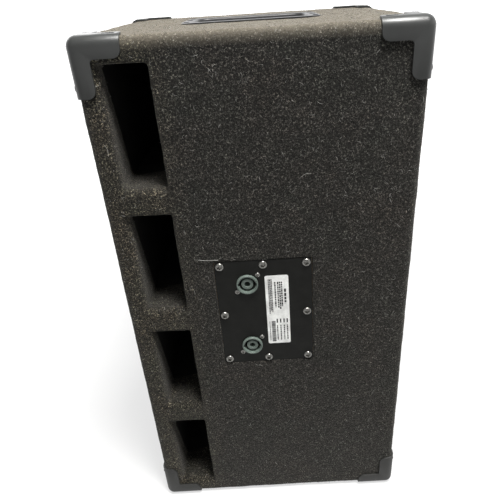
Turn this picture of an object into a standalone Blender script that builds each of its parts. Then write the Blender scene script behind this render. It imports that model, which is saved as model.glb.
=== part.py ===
"""Carpet-covered bass loudspeaker cabinet with two drivers, standing on one end.

Metres, +Z up. The rear face with the connector plate faces -Y and the grille faces +Y. The column of
port slots is on the -X side, which carries the rubber feet. Sizes below are in the cabinet's own
coordinates, centred on the cabinet; one empty stands it on the floor with the origin under the middle
of its bounding box.
"""

import math

import bmesh
import bpy
from mathutils import Matrix, Vector

# Clearance between pieces that touch
GAP = 0.0003

# Cabinet over its carpet
CARPET_WIDTH = 0.341
CARPET_DEPTH = 0.328
CARPET_HEIGHT = 0.645
CARPET_THICK = 0.003
CARPET_ROUND = 0.008
LINING_DEPTH = 0.060

# Boards
SIDE_BOARD = 0.018
END_BOARD = 0.018
BAFFLE_BOARD = 0.018
SHELF_BOARD = 0.012
DIVIDER_BOARD = 0.024
BAFFLE_RECESS = 0.036
PORT_WIDTH = 0.0469
PORT_DEPTH = 0.200
SLOT_COUNT = 4
BRACE_SIZE = (0.060, 0.015)

# Corner protectors
GUARD_THICK = 0.0022
GUARD_LONG = 0.057
GUARD_SHORT = 0.052
GUARD_ARM = 0.0190
GUARD_END_ROUND = 0.007
GUARD_INNER_ROUND = 0.004

# Connector plate, its sockets and its label
PLATE_CENTRE = (-0.003, 0.004)
PLATE_SIZE = (0.114, 0.149)
PLATE_THICK = 0.0020
PLATE_SCREWS = (0.0505, 0.0685)
PLATE_HOLE = (0.084, 0.120)
SOCKET_X = -0.0228
SOCKET_Z = (0.0475, -0.0435)
SOCKET_BODY = 0.0116
SOCKET_LENGTH = 0.022
LABEL_CENTRE = (0.0119, 0.0072)
LABEL_SIZE = (0.028, 0.100)

# Drivers, with s measured forwards from the front of the baffle
DRIVER_Z = 0.145
DRIVER_SEGMENTS = 20
FRAME_RADIUS = 0.129
BASKET_RADIUS = 0.112
DRIVER_HOLE = 0.1155
FLANGE_FRONT = 0.0066
SPIDER_LEVEL = -0.0595
FRONT_PLATE = -0.0815
COIL_GAP_OUTER = 0.0270
MAGNET_RADIUS = 0.070
COIL_RADIUS = 0.0258
CONE_RADIUS = 0.0960
SURROUND_IN = 0.0970
SURROUND_OUT = 0.1115

# Grille
GRILLE_STAND_OFF = 0.0275
GRILLE_THICK = 0.0015
GRILLE_FOLD = 0.008
BATTEN = 0.012

# Handles in the end panels
HANDLE_HOLE = (0.1400, 0.0880)
HANDLE_FLANGE = (0.160, 0.108)
HANDLE_WALL = 0.0025
HANDLE_DEPTH = 0.045
HANDLE_BAR = 0.010

# Rubber feet on the -X side
FOOT_HEIGHT = 0.008
FOOT_RADIUS = 0.017
FOOT_Y = 0.100
FOOT_Z = 0.235

# Worked out from the sizes above
HALF_X = CARPET_WIDTH / 2
HALF_Y = CARPET_DEPTH / 2
HALF_Z = CARPET_HEIGHT / 2
PROUD = GUARD_THICK + GAP
SKIN = CARPET_THICK + GAP
BOARD_X = HALF_X - SKIN
BOARD_Y = HALF_Y - SKIN
BOARD_Z = HALF_Z - SKIN
BOARD_ROUND = CARPET_ROUND - SKIN
INNER_X = BOARD_X - SIDE_BOARD
INNER_Z = BOARD_Z - END_BOARD
REAR_INNER_Y = -BOARD_Y + SIDE_BOARD
BAFFLE_Y = BOARD_Y - BAFFLE_RECESS
BAFFLE_BACK_Y = BAFFLE_Y - BAFFLE_BOARD
SLOT_LEFT = -INNER_X + SKIN
SLOT_RIGHT = SLOT_LEFT + PORT_WIDTH
SHELF_X = SLOT_RIGHT + SKIN
PORT_END_Y = -BOARD_Y + PORT_DEPTH
COLUMN_Z = INNER_Z - SKIN
SLOT_HEIGHT = (2 * COLUMN_Z - (SLOT_COUNT - 1) * (DIVIDER_BOARD + 2 * SKIN)) / SLOT_COUNT
SLOT_PITCH = SLOT_HEIGHT + DIVIDER_BOARD + 2 * SKIN
PLATE_Y = -BOARD_Y - GAP - PLATE_THICK
GRILLE_Y = BAFFLE_Y + GRILLE_STAND_OFF
SHIFT_X = (FOOT_HEIGHT + GAP - PROUD) / 2

# Shared finishes: colour, roughness, metallic
CARPET = ("carpet", (0.045, 0.040, 0.034), 0.95, 0.0)
PLYWOOD = ("plywood", (0.42, 0.29, 0.17), 0.75, 0.0)
BLACK_PAINT = ("black_paint", (0.015, 0.015, 0.014), 0.70, 0.0)
GUARD_PLASTIC = ("guard_plastic", (0.075, 0.078, 0.080), 0.42, 0.0)
BLACK_PLASTIC = ("black_plastic", (0.020, 0.020, 0.021), 0.45, 0.0)
PLATE_PAINT = ("plate_paint", (0.022, 0.023, 0.022), 0.38, 0.0)
STEEL = ("screw_steel", (0.55, 0.55, 0.54), 0.30, 1.0)
SOCKET_PLASTIC = ("socket_plastic", (0.34, 0.42, 0.37), 0.40, 0.0)
LABEL_PAPER = ("label_film", (0.78, 0.78, 0.74), 0.45, 0.0)
RUBBER = ("rubber", (0.018, 0.018, 0.018), 0.80, 0.0)
CONE_PAPER = ("cone_paper", (0.030, 0.030, 0.032), 0.85, 0.0)
BASKET_STEEL = ("basket_steel", (0.050, 0.050, 0.052), 0.50, 0.4)
FERRITE = ("ferrite", (0.060, 0.058, 0.056), 0.70, 0.1)
MOTOR_STEEL = ("motor_steel", (0.48, 0.47, 0.42), 0.40, 0.9)
COIL_FORMER = ("coil_former", (0.50, 0.25, 0.09), 0.50, 0.0)
SPIDER_CLOTH = ("spider_cloth", (0.46, 0.33, 0.12), 0.90, 0.0)
LEAD_PLASTIC = ("lead_plastic", (0.30, 0.03, 0.03), 0.50, 0.0)
WADDING = ("wadding", (0.60, 0.60, 0.57), 0.95, 0.0)
GRILLE_PAINT = ("grille_paint", (0.018, 0.018, 0.019), 0.50, 0.2)


def clear_scene():
    for old in list(bpy.data.objects):
        bpy.data.objects.remove(old, do_unlink=True)


def finish_material(finish):
    name, colour, roughness, metallic = finish
    known = bpy.data.materials.get(name)
    if known:
        return known
    made = bpy.data.materials.new(name)
    made.use_nodes = True
    shader = made.node_tree.nodes["Principled BSDF"]
    shader.inputs["Base Color"].default_value = (*colour, 1.0)
    shader.inputs["Roughness"].default_value = roughness
    shader.inputs["Metallic"].default_value = metallic
    made.diffuse_color = (*colour, 1.0)
    return made


def empty(name, location, parent=None):
    made = bpy.data.objects.new(name, None)
    made.location = location
    made.parent = parent
    bpy.context.collection.objects.link(made)
    return made


def node(name, shape, finish, parent, smooth=True, turned_out=False):
    """One named sub-part, made from a bmesh that holds one closed body."""
    if not turned_out:
        bmesh.ops.recalc_face_normals(shape, faces=shape.faces)
    mesh = bpy.data.meshes.new(name)
    shape.to_mesh(mesh)
    shape.free()
    if smooth:
        mesh.shade_smooth()
        mesh.set_sharp_from_angle(angle=math.radians(35))
    made = bpy.data.objects.new(name, mesh)
    made.parent = parent
    bpy.context.collection.objects.link(made)
    if finish:
        mesh.materials.append(finish_material(finish))
    return made


def cutter(name, shape, parent):
    made = node(name, shape, None, parent, smooth=False)
    made.hide_render = True
    made.display_type = "WIRE"
    return made


def boolean(target, other, operation="DIFFERENCE"):
    step = target.modifiers.new(other.name, "BOOLEAN")
    step.solver = "EXACT"
    step.operation = operation
    step.object = other


def settled(target):
    """The mesh of an object with its modifiers applied; the object itself is removed."""
    bpy.context.view_layer.update()
    graph = bpy.context.evaluated_depsgraph_get()
    mesh = bpy.data.meshes.new_from_object(target.evaluated_get(graph))
    bpy.data.objects.remove(target, do_unlink=True)
    return mesh


def put_box(shape, low, high, round_edges=0.0, segments=3):
    """A box from its lowest to its highest corner, with all its edges rounded if asked."""
    size = [b - a for a, b in zip(low, high)]
    middle = [(a + b) / 2 for a, b in zip(low, high)]
    move = Matrix.Translation(middle) @ Matrix.Diagonal((*size, 1.0))
    made = bmesh.ops.create_cube(shape, size=1.0, matrix=move)["verts"]
    if round_edges:
        edges = list({edge for vert in made for edge in vert.link_edges})
        bmesh.ops.bevel(
            shape, geom=edges, offset=round_edges, segments=segments, profile=0.5, affect="EDGES"
        )


def put_prism(shape, outline, axis, low, high):
    """An outline of (u, v) points, extruded along one axis. u and v are the other two, in X, Y, Z order."""
    others = [k for k in range(3) if k != axis]
    rings = []
    for level in (low, high):
        ring = []
        for u, v in outline:
            point = [0.0, 0.0, 0.0]
            point[axis] = level
            point[others[0]] = u
            point[others[1]] = v
            ring.append(shape.verts.new(point))
        rings.append(ring)
    count = len(outline)
    shape.faces.new(rings[0])
    shape.faces.new(list(reversed(rings[1])))
    for k in range(count):
        after = (k + 1) % count
        shape.faces.new((rings[0][k], rings[1][k], rings[1][after], rings[0][after]))


def put_turned(shape, profile, centre, direction, segments, closed=False):
    """A profile of (radius, height) points turned about a direction through centre.

    An open profile starts and ends on the axis. A closed one makes a ring.
    """
    turn = Vector((0, 0, 1)).rotation_difference(Vector(direction)).to_matrix()
    rings = []
    for radius, height in profile:
        if radius == 0.0:
            point = turn @ Vector((0, 0, height)) + Vector(centre)
            rings.append([shape.verts.new(point)] * segments)
            continue
        ring = []
        for k in range(segments):
            angle = math.tau * k / segments
            spot = Vector((radius * math.cos(angle), radius * math.sin(angle), height))
            ring.append(shape.verts.new(turn @ spot + Vector(centre)))
        rings.append(ring)
    pairs = list(zip(rings, rings[1:]))
    if closed:
        pairs.append((rings[-1], rings[0]))
    for below, above in pairs:
        for k in range(segments):
            after = (k + 1) % segments
            corners = [below[k], below[after], above[after], above[k]]
            corners = list(dict.fromkeys(corners))
            if len(corners) > 2:
                shape.faces.new(corners)


def arc(centre, radius, start, end, steps):
    """Points on a circular arc, angles in degrees."""
    points = []
    for k in range(steps + 1):
        angle = math.radians(start + (end - start) * k / steps)
        points.append((centre[0] + radius * math.cos(angle), centre[1] + radius * math.sin(angle)))
    return points


def rounded_rectangle(width, height, radius, steps=3):
    points = []
    for sign_u, sign_v, start in ((1, 1, 0), (-1, 1, 90), (-1, -1, 180), (1, -1, 270)):
        centre = (sign_u * (width / 2 - radius), sign_v * (height / 2 - radius))
        points += arc(centre, radius, start, start + 90, steps)
    return points


def put_screw(shape, head_at, direction, head_radius, shank_radius, length, segments):
    """A domed screw whose head rests at head_at and whose shank runs against direction."""
    head_height = head_radius * 0.5
    profile = [
        (0.0, -length),
        (shank_radius, -length + shank_radius),
        (shank_radius, 0.0),
        (head_radius, 0.0),
        (head_radius * 0.75, head_height * 0.8),
        (0.0, head_height),
    ]
    put_turned(shape, profile, head_at, direction, segments)


def put_screw_hole(shape, head_at, direction, shank_radius, length, above=0.004):
    """The clearance for a screw of the same place, direction and length."""
    radius = (shank_radius + GAP) / math.cos(math.pi / 8)
    profile = [(0.0, -length - GAP), (radius, -length - GAP), (radius, above), (0.0, above)]
    put_turned(shape, profile, head_at, direction, 8)


def screws(name, places, sizes, parent, segments):
    """Equal screws, each a node, with one cutter for their holes. sizes: head, shank, length."""
    head_radius, shank_radius, length = sizes
    holes = bmesh.new()
    for k, (spot, direction) in enumerate(places, 1):
        solid = bmesh.new()
        put_screw(solid, spot, direction, head_radius, shank_radius, length, segments)
        node(f"{name}_{k}", solid, STEEL, parent)
        put_screw_hole(holes, spot, direction, shank_radius, length)
    return cutter(f"{name}_holes", holes, parent)


# ---------------------------------------------------------------- cabinet


def outer_form(cabinet):
    """The outside of the boards with rounded edges, which every outer board is trimmed to."""
    shape = bmesh.new()
    put_box(shape, (-BOARD_X, -BOARD_Y, -BOARD_Z), (BOARD_X, BOARD_Y, BOARD_Z), BOARD_ROUND, 2)
    return cutter("outer_form", shape, cabinet)


def board(name, low, high, cabinet, form=None, finish=PLYWOOD):
    shape = bmesh.new()
    put_box(shape, low, high)
    made = node(name, shape, finish, cabinet, smooth=False)
    if form:
        boolean(made, form, "INTERSECT")
    return made


def outer_boards(cabinet):
    """The four walls, trimmed to the rounded outer form."""
    form = outer_form(cabinet)
    over = 0.002
    wide = BOARD_X + over
    deep = BOARD_Y + over
    tall = BOARD_Z + over
    between = INNER_Z - GAP
    boards = {}
    boards["upper"] = board("end_panel_upper", (-wide, -deep, INNER_Z), (wide, deep, tall), cabinet, form)
    boards["lower"] = board("end_panel_lower", (-wide, -deep, -tall), (wide, deep, -INNER_Z), cabinet, form)
    boards["port"] = board(
        "port_side_panel", (-wide, -deep, -between), (-INNER_X, deep, between), cabinet, form
    )
    boards["plain"] = board(
        "plain_side_panel", (INNER_X, -deep, -between), (wide, deep, between), cabinet, form
    )
    return boards


def inner_boards(cabinet):
    """The rear panel, the baffle, the wall and dividers of the port, and a brace."""
    between = INNER_Z - GAP
    right = INNER_X - GAP
    boards = {}
    boards["rear"] = board(
        "rear_panel", (SHELF_X, -BOARD_Y, -between), (right, REAR_INNER_Y, between), cabinet
    )
    boards["baffle"] = board(
        "front_baffle", (-right, BAFFLE_BACK_Y, -between), (right, BAFFLE_Y, between), cabinet
    )
    board(
        "port_shelf",
        (SHELF_X, REAR_INNER_Y + GAP, -between),
        (SHELF_X + SHELF_BOARD, PORT_END_Y, between),
        cabinet,
    )
    for k in range(SLOT_COUNT - 1):
        middle = (k - (SLOT_COUNT - 2) / 2) * SLOT_PITCH
        low = (-INNER_X + GAP, -BOARD_Y, middle - DIVIDER_BOARD / 2)
        high = (SHELF_X - GAP, PORT_END_Y, middle + DIVIDER_BOARD / 2)
        board(f"port_divider_{k + 1}", low, high, cabinet)
    depth, thick = BRACE_SIZE
    board(
        "cross_brace",
        (SHELF_X + SHELF_BOARD + GAP, -depth / 2 - 0.02, -thick / 2),
        (right, depth / 2 - 0.02, thick / 2),
        cabinet,
    )
    return boards


def slot_middles():
    return [(k - (SLOT_COUNT - 1) / 2) * SLOT_PITCH for k in range(SLOT_COUNT)]


def carpet_wrap(cabinet):
    """The carpet skin round the whole box, turned into the mouth of each slot and open at the front."""
    shape = bmesh.new()
    put_box(shape, (-HALF_X, -HALF_Y, -HALF_Z), (HALF_X, HALF_Y, HALF_Z), CARPET_ROUND, 3)
    made = node("carpet_wrap", shape, CARPET, cabinet)
    inside = bmesh.new()
    low = [-(HALF_X - CARPET_THICK), -(HALF_Y - CARPET_THICK), -(HALF_Z - CARPET_THICK)]
    put_box(inside, low, [-value for value in low], CARPET_ROUND - CARPET_THICK, 2)
    boolean(made, cutter("carpet_inside", inside, cabinet))
    sleeves = bmesh.new()
    openings = bmesh.new()
    lining_end = -BOARD_Y + LINING_DEPTH
    for middle in slot_middles():
        half = SLOT_HEIGHT / 2
        wide = CARPET_THICK
        low = (SLOT_LEFT - wide, -HALF_Y + CARPET_THICK / 2, middle - half - wide)
        put_box(sleeves, low, (SLOT_RIGHT + wide, lining_end, middle + half + wide))
        low = (SLOT_LEFT, -HALF_Y - 0.01, middle - half)
        put_box(openings, low, (SLOT_RIGHT, lining_end + 0.01, middle + half))
    put_box(openings, (-INNER_X, BAFFLE_Y, -INNER_Z), (INNER_X, HALF_Y + 0.01, INNER_Z))
    plate = rounded_rectangle(PLATE_SIZE[0] + 2 * GAP, PLATE_SIZE[1] + 2 * GAP, 0.003, 2)
    plate = [(u + PLATE_CENTRE[0], v + PLATE_CENTRE[1]) for u, v in plate]
    put_prism(openings, plate, 1, -HALF_Y - 0.01, -BOARD_Y + 0.001)
    for side in (-1, 1):
        hole = rounded_rectangle(HANDLE_HOLE[0], HANDLE_HOLE[1], 0.016, 3)
        ends = sorted((side * (BOARD_Z - 0.001), side * (HALF_Z + 0.01)))
        put_prism(openings, hole, 2, *ends)
    boolean(made, cutter("slot_sleeves", sleeves, cabinet), "UNION")
    boolean(made, cutter("carpet_openings", openings, cabinet))


# ---------------------------------------------------------------- corner protectors


def guard_outline(long_arm, short_arm):
    """The L that a protector shows on one face, from the cabinet's corner at (0, 0)."""
    arm = GUARD_ARM + PROUD
    end = GUARD_END_ROUND
    fillet = GUARD_INNER_ROUND
    points = [(-0.02, -0.02), (long_arm, -0.02)]
    points += arc((long_arm - end, arm - end), end, 0, 90, 3)
    points += arc((arm + fillet, arm + fillet), fillet, 270, 180, 2)
    points += arc((arm - end, short_arm - end), end, 0, 90, 3)
    points.append((-0.02, short_arm))
    return points


def guard_mesh(cabinet):
    """One protector, modelled at the +X +Y +Z corner: a rounded shell trimmed to an L on each face."""
    corner = Vector((HALF_X + PROUD, HALF_Y + PROUD, HALF_Z + PROUD))
    reach = 0.10
    shape = bmesh.new()
    put_box(shape, corner - Vector((reach, reach, reach)), corner, CARPET_ROUND + PROUD, 3)
    made = node("guard_master", shape, GUARD_PLASTIC, cabinet)
    inside = bmesh.new()
    inner = corner - Vector((GUARD_THICK, GUARD_THICK, GUARD_THICK))
    put_box(inside, inner - Vector((reach, reach, reach)), inner, CARPET_ROUND + GAP, 3)
    boolean(made, cutter("guard_inside", inside, cabinet))
    arms = {0: (GUARD_SHORT, GUARD_LONG), 1: (GUARD_SHORT, GUARD_LONG), 2: (GUARD_SHORT, GUARD_SHORT)}
    for axis, (first, second) in arms.items():
        others = [k for k in range(3) if k != axis]
        outline = [
            (corner[others[0]] - u, corner[others[1]] - v) for u, v in guard_outline(first, second)
        ]
        trim = bmesh.new()
        put_prism(trim, outline, axis, corner[axis] - 0.2, corner[axis] + 0.02)
        boolean(made, cutter(f"guard_trim_{axis}", trim, cabinet), "INTERSECT")
    return settled(made)


def corner_protectors(cabinet):
    master = guard_mesh(cabinet)
    for x, x_name in ((-1, "port"), (1, "plain")):
        for y, y_name in ((-1, "rear"), (1, "front")):
            for z, z_name in ((-1, "lower"), (1, "upper")):
                shape = bmesh.new()
                shape.from_mesh(master)
                for vert in shape.verts:
                    vert.co = Vector((vert.co.x * x, vert.co.y * y, vert.co.z * z))
                if x * y * z < 0:
                    bmesh.ops.reverse_faces(shape, faces=shape.faces)
                name = f"corner_protector_{z_name}_{y_name}_{x_name}"
                node(name, shape, GUARD_PLASTIC, cabinet, turned_out=True)
    bpy.data.meshes.remove(master)


# ---------------------------------------------------------------- connector plate


def connector_plate(cabinet, rear_panel):
    """The plate and its eight screws over a window in the rear panel, both sockets and the blank label."""
    middle_x, middle_z = PLATE_CENTRE
    places = []
    for z in (1, 0, -1):
        for x in (-1, 0, 1):
            if x or z:
                spot = (middle_x + x * PLATE_SCREWS[0], PLATE_Y - GAP, middle_z + z * PLATE_SCREWS[1])
                places.append((spot, (0, -1, 0)))
    holes = screws("connector_plate_screw", places, (0.0050, 0.0020, 0.015), cabinet, 10)

    shape = bmesh.new()
    outline = rounded_rectangle(PLATE_SIZE[0], PLATE_SIZE[1], 0.003, 2)
    outline = [(u + middle_x, v + middle_z) for u, v in outline]
    put_prism(shape, outline, 1, PLATE_Y, PLATE_Y + PLATE_THICK)
    plate = node("connector_plate", shape, PLATE_PAINT, cabinet, smooth=False)

    window = bmesh.new()
    put_box(
        window,
        (middle_x - PLATE_HOLE[0] / 2, -BOARD_Y - 0.002, middle_z - PLATE_HOLE[1] / 2),
        (middle_x + PLATE_HOLE[0] / 2, REAR_INNER_Y + 0.01, middle_z + PLATE_HOLE[1] / 2),
    )
    boolean(rear_panel, cutter("plate_window", window, cabinet))

    cutouts = bmesh.new()
    radius = SOCKET_BODY + GAP
    for z in SOCKET_Z:
        profile = [(0.0, -0.02), (radius, -0.02), (radius, 0.02), (0.0, 0.02)]
        put_turned(cutouts, profile, (SOCKET_X, PLATE_Y, z), (0, 1, 0), 24)
    boolean(plate, cutter("socket_cutouts", cutouts, cabinet))
    boolean(plate, holes)
    boolean(rear_panel, holes)
    for z, name in zip(SOCKET_Z, ("socket_upper", "socket_lower")):
        socket(name, z, cabinet)
    rating_label(cabinet)


def socket(name, z, cabinet):
    """A round twist-lock socket: a rim on the plate, a ring-shaped well and a centre boss with a hole."""
    rim, well, boss, hole = 0.0129, 0.0100, 0.0073, 0.0032
    front, boss_front, floor, back = PROUD + CARPET_THICK - PLATE_THICK, 0.0020, -0.0150, -SOCKET_LENGTH
    profile = [
        (0.0, back),
        (SOCKET_BODY, back),
        (SOCKET_BODY, GAP),
        (rim, GAP),
        (rim, front - 0.001),
        (rim - 0.001, front),
        (well + 0.0006, front),
        (well, front - 0.0006),
        (well, floor),
        (boss, floor),
        (boss, boss_front),
        (hole, boss_front),
        (hole, floor + 0.003),
        (0.0, floor + 0.003),
    ]
    shape = bmesh.new()
    put_turned(shape, profile, (SOCKET_X, PLATE_Y, z), (0, -1, 0), 24)
    node(name, shape, SOCKET_PLASTIC, cabinet)


def rating_label(cabinet):
    shape = bmesh.new()
    outline = rounded_rectangle(LABEL_SIZE[0], LABEL_SIZE[1], 0.002, 2)
    outline = [(u + LABEL_CENTRE[0], v + LABEL_CENTRE[1]) for u, v in outline]
    put_prism(shape, outline, 1, PLATE_Y - GAP - 0.0002, PLATE_Y - GAP)
    node("rating_label", shape, LABEL_PAPER, cabinet, smooth=False)


# ---------------------------------------------------------------- drivers


def put_driver_part(shape, profile, closed=True):
    put_turned(shape, profile, (0, 0, 0), (0, 1, 0), DRIVER_SEGMENTS, closed)


def driver_part(name, profile, finish, axis, closed=True):
    shape = bmesh.new()
    put_driver_part(shape, profile, closed)
    return node(name, shape, finish, axis)


def cone_height(radius):
    """Where the front of the cone is, at a radius."""
    neck, edge = (0.0262, -0.0400), (CONE_RADIUS, 0.0055)
    share = (radius - neck[0]) / (edge[0] - neck[0])
    return neck[1] + share * (edge[1] - neck[1])


def basket(name, axis):
    """Front flange, sloping wall with six windows, a ledge for the spider, and the motor's front plate."""
    profile = [
        (FRAME_RADIUS, GAP),
        (FRAME_RADIUS, FLANGE_FRONT),
        (0.1100, FLANGE_FRONT),
        (0.1080, -0.0080),
        (0.0650, SPIDER_LEVEL - GAP),
        (0.0585, SPIDER_LEVEL - GAP),
        (0.0560, FRONT_PLATE + 0.0030),
        (COIL_GAP_OUTER, FRONT_PLATE + 0.0030),
        (COIL_GAP_OUTER, FRONT_PLATE - 0.0082),
        (0.0620, FRONT_PLATE - 0.0082),
        (0.0640, -0.0680),
        (0.0690, -0.0640),
        (0.1108, -0.0100),
        (BASKET_RADIUS, GAP),
    ]
    made = driver_part(name, profile, BASKET_STEEL, axis)
    windows = bmesh.new()
    for k in range(6):
        turned = Matrix.Rotation(math.radians(60 * k + 30), 4, "Y")
        piece = bmesh.new()
        put_box(piece, (0.070, -0.052, -0.021), (0.125, -0.016, 0.021))
        piece.transform(turned)
        mesh = bpy.data.meshes.new("window")
        piece.to_mesh(mesh)
        piece.free()
        windows.from_mesh(mesh)
        bpy.data.meshes.remove(mesh)
    boolean(made, cutter(name + "_windows", windows, axis))


def surround_profile():
    """A half-roll of rubber between the cone and the flange, with a flat lip on each side."""
    thick = 0.0010
    middle = (SURROUND_IN + SURROUND_OUT) / 2
    radius = (SURROUND_OUT - SURROUND_IN) / 2
    level = FLANGE_FRONT + GAP
    points = [(0.0905, level), (SURROUND_IN, level)]
    points += arc((middle, level), radius - thick / 2, 180, 0, 6)
    points += [(SURROUND_OUT, level), (0.1180, level), (0.1180, level + thick)]
    points += arc((middle, level + thick), radius + thick / 2, 0, 180, 6)
    points.append((0.0905, level + thick))
    return points


def spider_profile():
    """A corrugated cloth disc that centres the coil."""
    inner, outer, level, waves = 0.0264, 0.0635, SPIDER_LEVEL + 0.0009, 4
    step = (outer - inner) / (2 * waves)
    ridge = [
        (inner + k * step, level - (0.0 if k in (0, 2 * waves) else 0.0015 * (-1) ** k))
        for k in range(2 * waves + 1)
    ]
    return ridge + [(radius, height - 0.0009) for radius, height in reversed(ridge)]


def dust_cap_profile():
    rim = 0.0300
    seat = cone_height(rim) + GAP + 0.0004
    rise = 0.0110
    outside = [(rim * math.cos(t), seat + rise * math.sin(t)) for t in (0, 0.45, 0.95)]
    inside = [(r * 0.965, h - 0.0009) for r, h in outside[1:]]
    profile = [(0.0, seat + rise)] + outside[::-1]
    return profile + [(rim - 0.0012, seat)] + inside + [(0.0, seat + rise - 0.0009)]


def driver(place, z, cabinet):
    """One 10-inch driver. The cone, dust cap and coil slide along its axis."""
    axis = empty(f"driver_{place}_axis", (0, BAFFLE_Y, z), cabinet)
    basket(f"basket_{place}", axis)
    driver_part(f"surround_{place}", surround_profile(), RUBBER, axis)
    driver_part(f"spider_{place}", spider_profile(), SPIDER_CLOTH, axis)
    thick = 0.0010
    cone = [
        (0.0262, cone_height(0.0262)),
        (0.0905, cone_height(0.0905)),
        (CONE_RADIUS, FLANGE_FRONT - GAP),
        (CONE_RADIUS, FLANGE_FRONT - GAP - thick),
        (0.0905, cone_height(0.0905) - thick),
        (0.0262, cone_height(0.0262) - thick),
    ]
    driver_part(f"cone_{place}", cone, CONE_PAPER, axis)
    driver_part(f"dust_cap_{place}", dust_cap_profile(), CONE_PAPER, axis, closed=False)
    coil = [(COIL_RADIUS, -0.100), (COIL_RADIUS, -0.038), (0.0247, -0.038), (0.0247, -0.100)]
    driver_part(f"voice_coil_{place}", coil, COIL_FORMER, axis)
    magnet = [
        (MAGNET_RADIUS, -0.1095),
        (MAGNET_RADIUS, -0.0900),
        (0.0340, -0.0900),
        (0.0340, -0.1095),
    ]
    driver_part(f"magnet_{place}", magnet, FERRITE, axis)
    pole = 0.0238
    back_plate = [
        (0.0, -0.1180),
        (0.0620, -0.1180),
        (0.0620, -0.1098),
        (pole, -0.1098),
        (pole, FRONT_PLATE),
        (0.0, FRONT_PLATE),
    ]
    driver_part(f"back_plate_{place}", back_plate, MOTOR_STEEL, axis, closed=False)


def baffle_holes(cabinet, baffle):
    shape = bmesh.new()
    for z in (-DRIVER_Z, DRIVER_Z):
        profile = [(0.0, -0.04), (DRIVER_HOLE, -0.04), (DRIVER_HOLE, 0.02), (0.0, 0.02)]
        put_turned(shape, profile, (0, BAFFLE_Y, z), (0, 1, 0), DRIVER_SEGMENTS)
    boolean(baffle, cutter("baffle_cutouts", shape, cabinet))


# ---------------------------------------------------------------- leads and wadding


def lead(name, route, cabinet):
    data = bpy.data.curves.new(name, "CURVE")
    data.dimensions = "3D"
    data.bevel_depth = 0.0016
    data.bevel_resolution = 1
    data.use_fill_caps = True
    points = smooth_route([Vector(point) for point in route], 3)
    spline = data.splines.new("POLY")
    spline.points.add(len(points) - 1)
    for target, point in zip(spline.points, points):
        target.co = (*point, 1.0)
    data.materials.append(finish_material(LEAD_PLASTIC))
    made = bpy.data.objects.new(name, data)
    made.parent = cabinet
    bpy.context.collection.objects.link(made)


def internal_leads(cabinet):
    """A lead between the sockets, and one from each socket to the terminals of a driver."""
    start_y = PLATE_Y + SOCKET_LENGTH + 2 * GAP
    link_x = SOCKET_X - 0.005
    link = [
        (link_x, start_y, SOCKET_Z[0]),
        (link_x, start_y + 0.012, SOCKET_Z[0] - 0.002),
        (link_x, start_y + 0.024, 0.020),
        (link_x, start_y + 0.024, -0.016),
        (link_x, start_y + 0.012, SOCKET_Z[1] + 0.002),
        (link_x, start_y, SOCKET_Z[1]),
    ]
    lead("lead_between_sockets", link, cabinet)
    for name, side, z in (("lead_upper", 1, SOCKET_Z[0]), ("lead_lower", -1, SOCKET_Z[1])):
        route = [
            (SOCKET_X + 0.005, start_y, z),
            (SOCKET_X + 0.005, start_y + 0.014, z),
            (0.000, -0.085, side * 0.054),
            (0.002, -0.030, side * 0.063),
            (0.000, 0.028, side * 0.064),
            (0.000, BAFFLE_Y - 0.068, side * 0.066),
            (0.000, BAFFLE_Y - 0.060, side * (DRIVER_Z - 0.0722)),
        ]
        lead(name, route, cabinet)


def smooth_route(points, steps):
    """Points along a Catmull-Rom curve through the given ones."""
    ends = [2 * points[0] - points[1]] + points + [2 * points[-1] - points[-2]]
    found = []
    for k in range(len(points) - 1):
        a, b, c, d = ends[k : k + 4]
        for i in range(steps):
            t = i / steps
            curve = 2 * b + (c - a) * t + (2 * a - 5 * b + 4 * c - d) * t**2
            found.append((curve + (3 * b - 3 * c + d - a) * t**3) / 2)
    found.append(points[-1])
    return found


def wadding(cabinet):
    """A slab of damping felt on the inside of the rear panel, with a window for the sockets."""
    shape = bmesh.new()
    low = (SHELF_X + SHELF_BOARD + 0.004, REAR_INNER_Y + GAP, -0.285)
    put_box(shape, low, (INNER_X - 0.030, REAR_INNER_Y + 0.012, 0.285), 0.003, 1)
    slab = node("wadding", shape, WADDING, cabinet, smooth=False)
    window = bmesh.new()
    middle_x, middle_z = PLATE_CENTRE
    half_x, half_z = PLATE_HOLE[0] / 2, PLATE_HOLE[1] / 2 + 0.005
    put_box(
        window,
        (middle_x - half_x, REAR_INNER_Y - 0.01, middle_z - half_z),
        (middle_x + half_x, REAR_INNER_Y + 0.03, middle_z + half_z),
    )
    boolean(slab, cutter("wadding_window", window, cabinet))


# ---------------------------------------------------------------- grille


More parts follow.
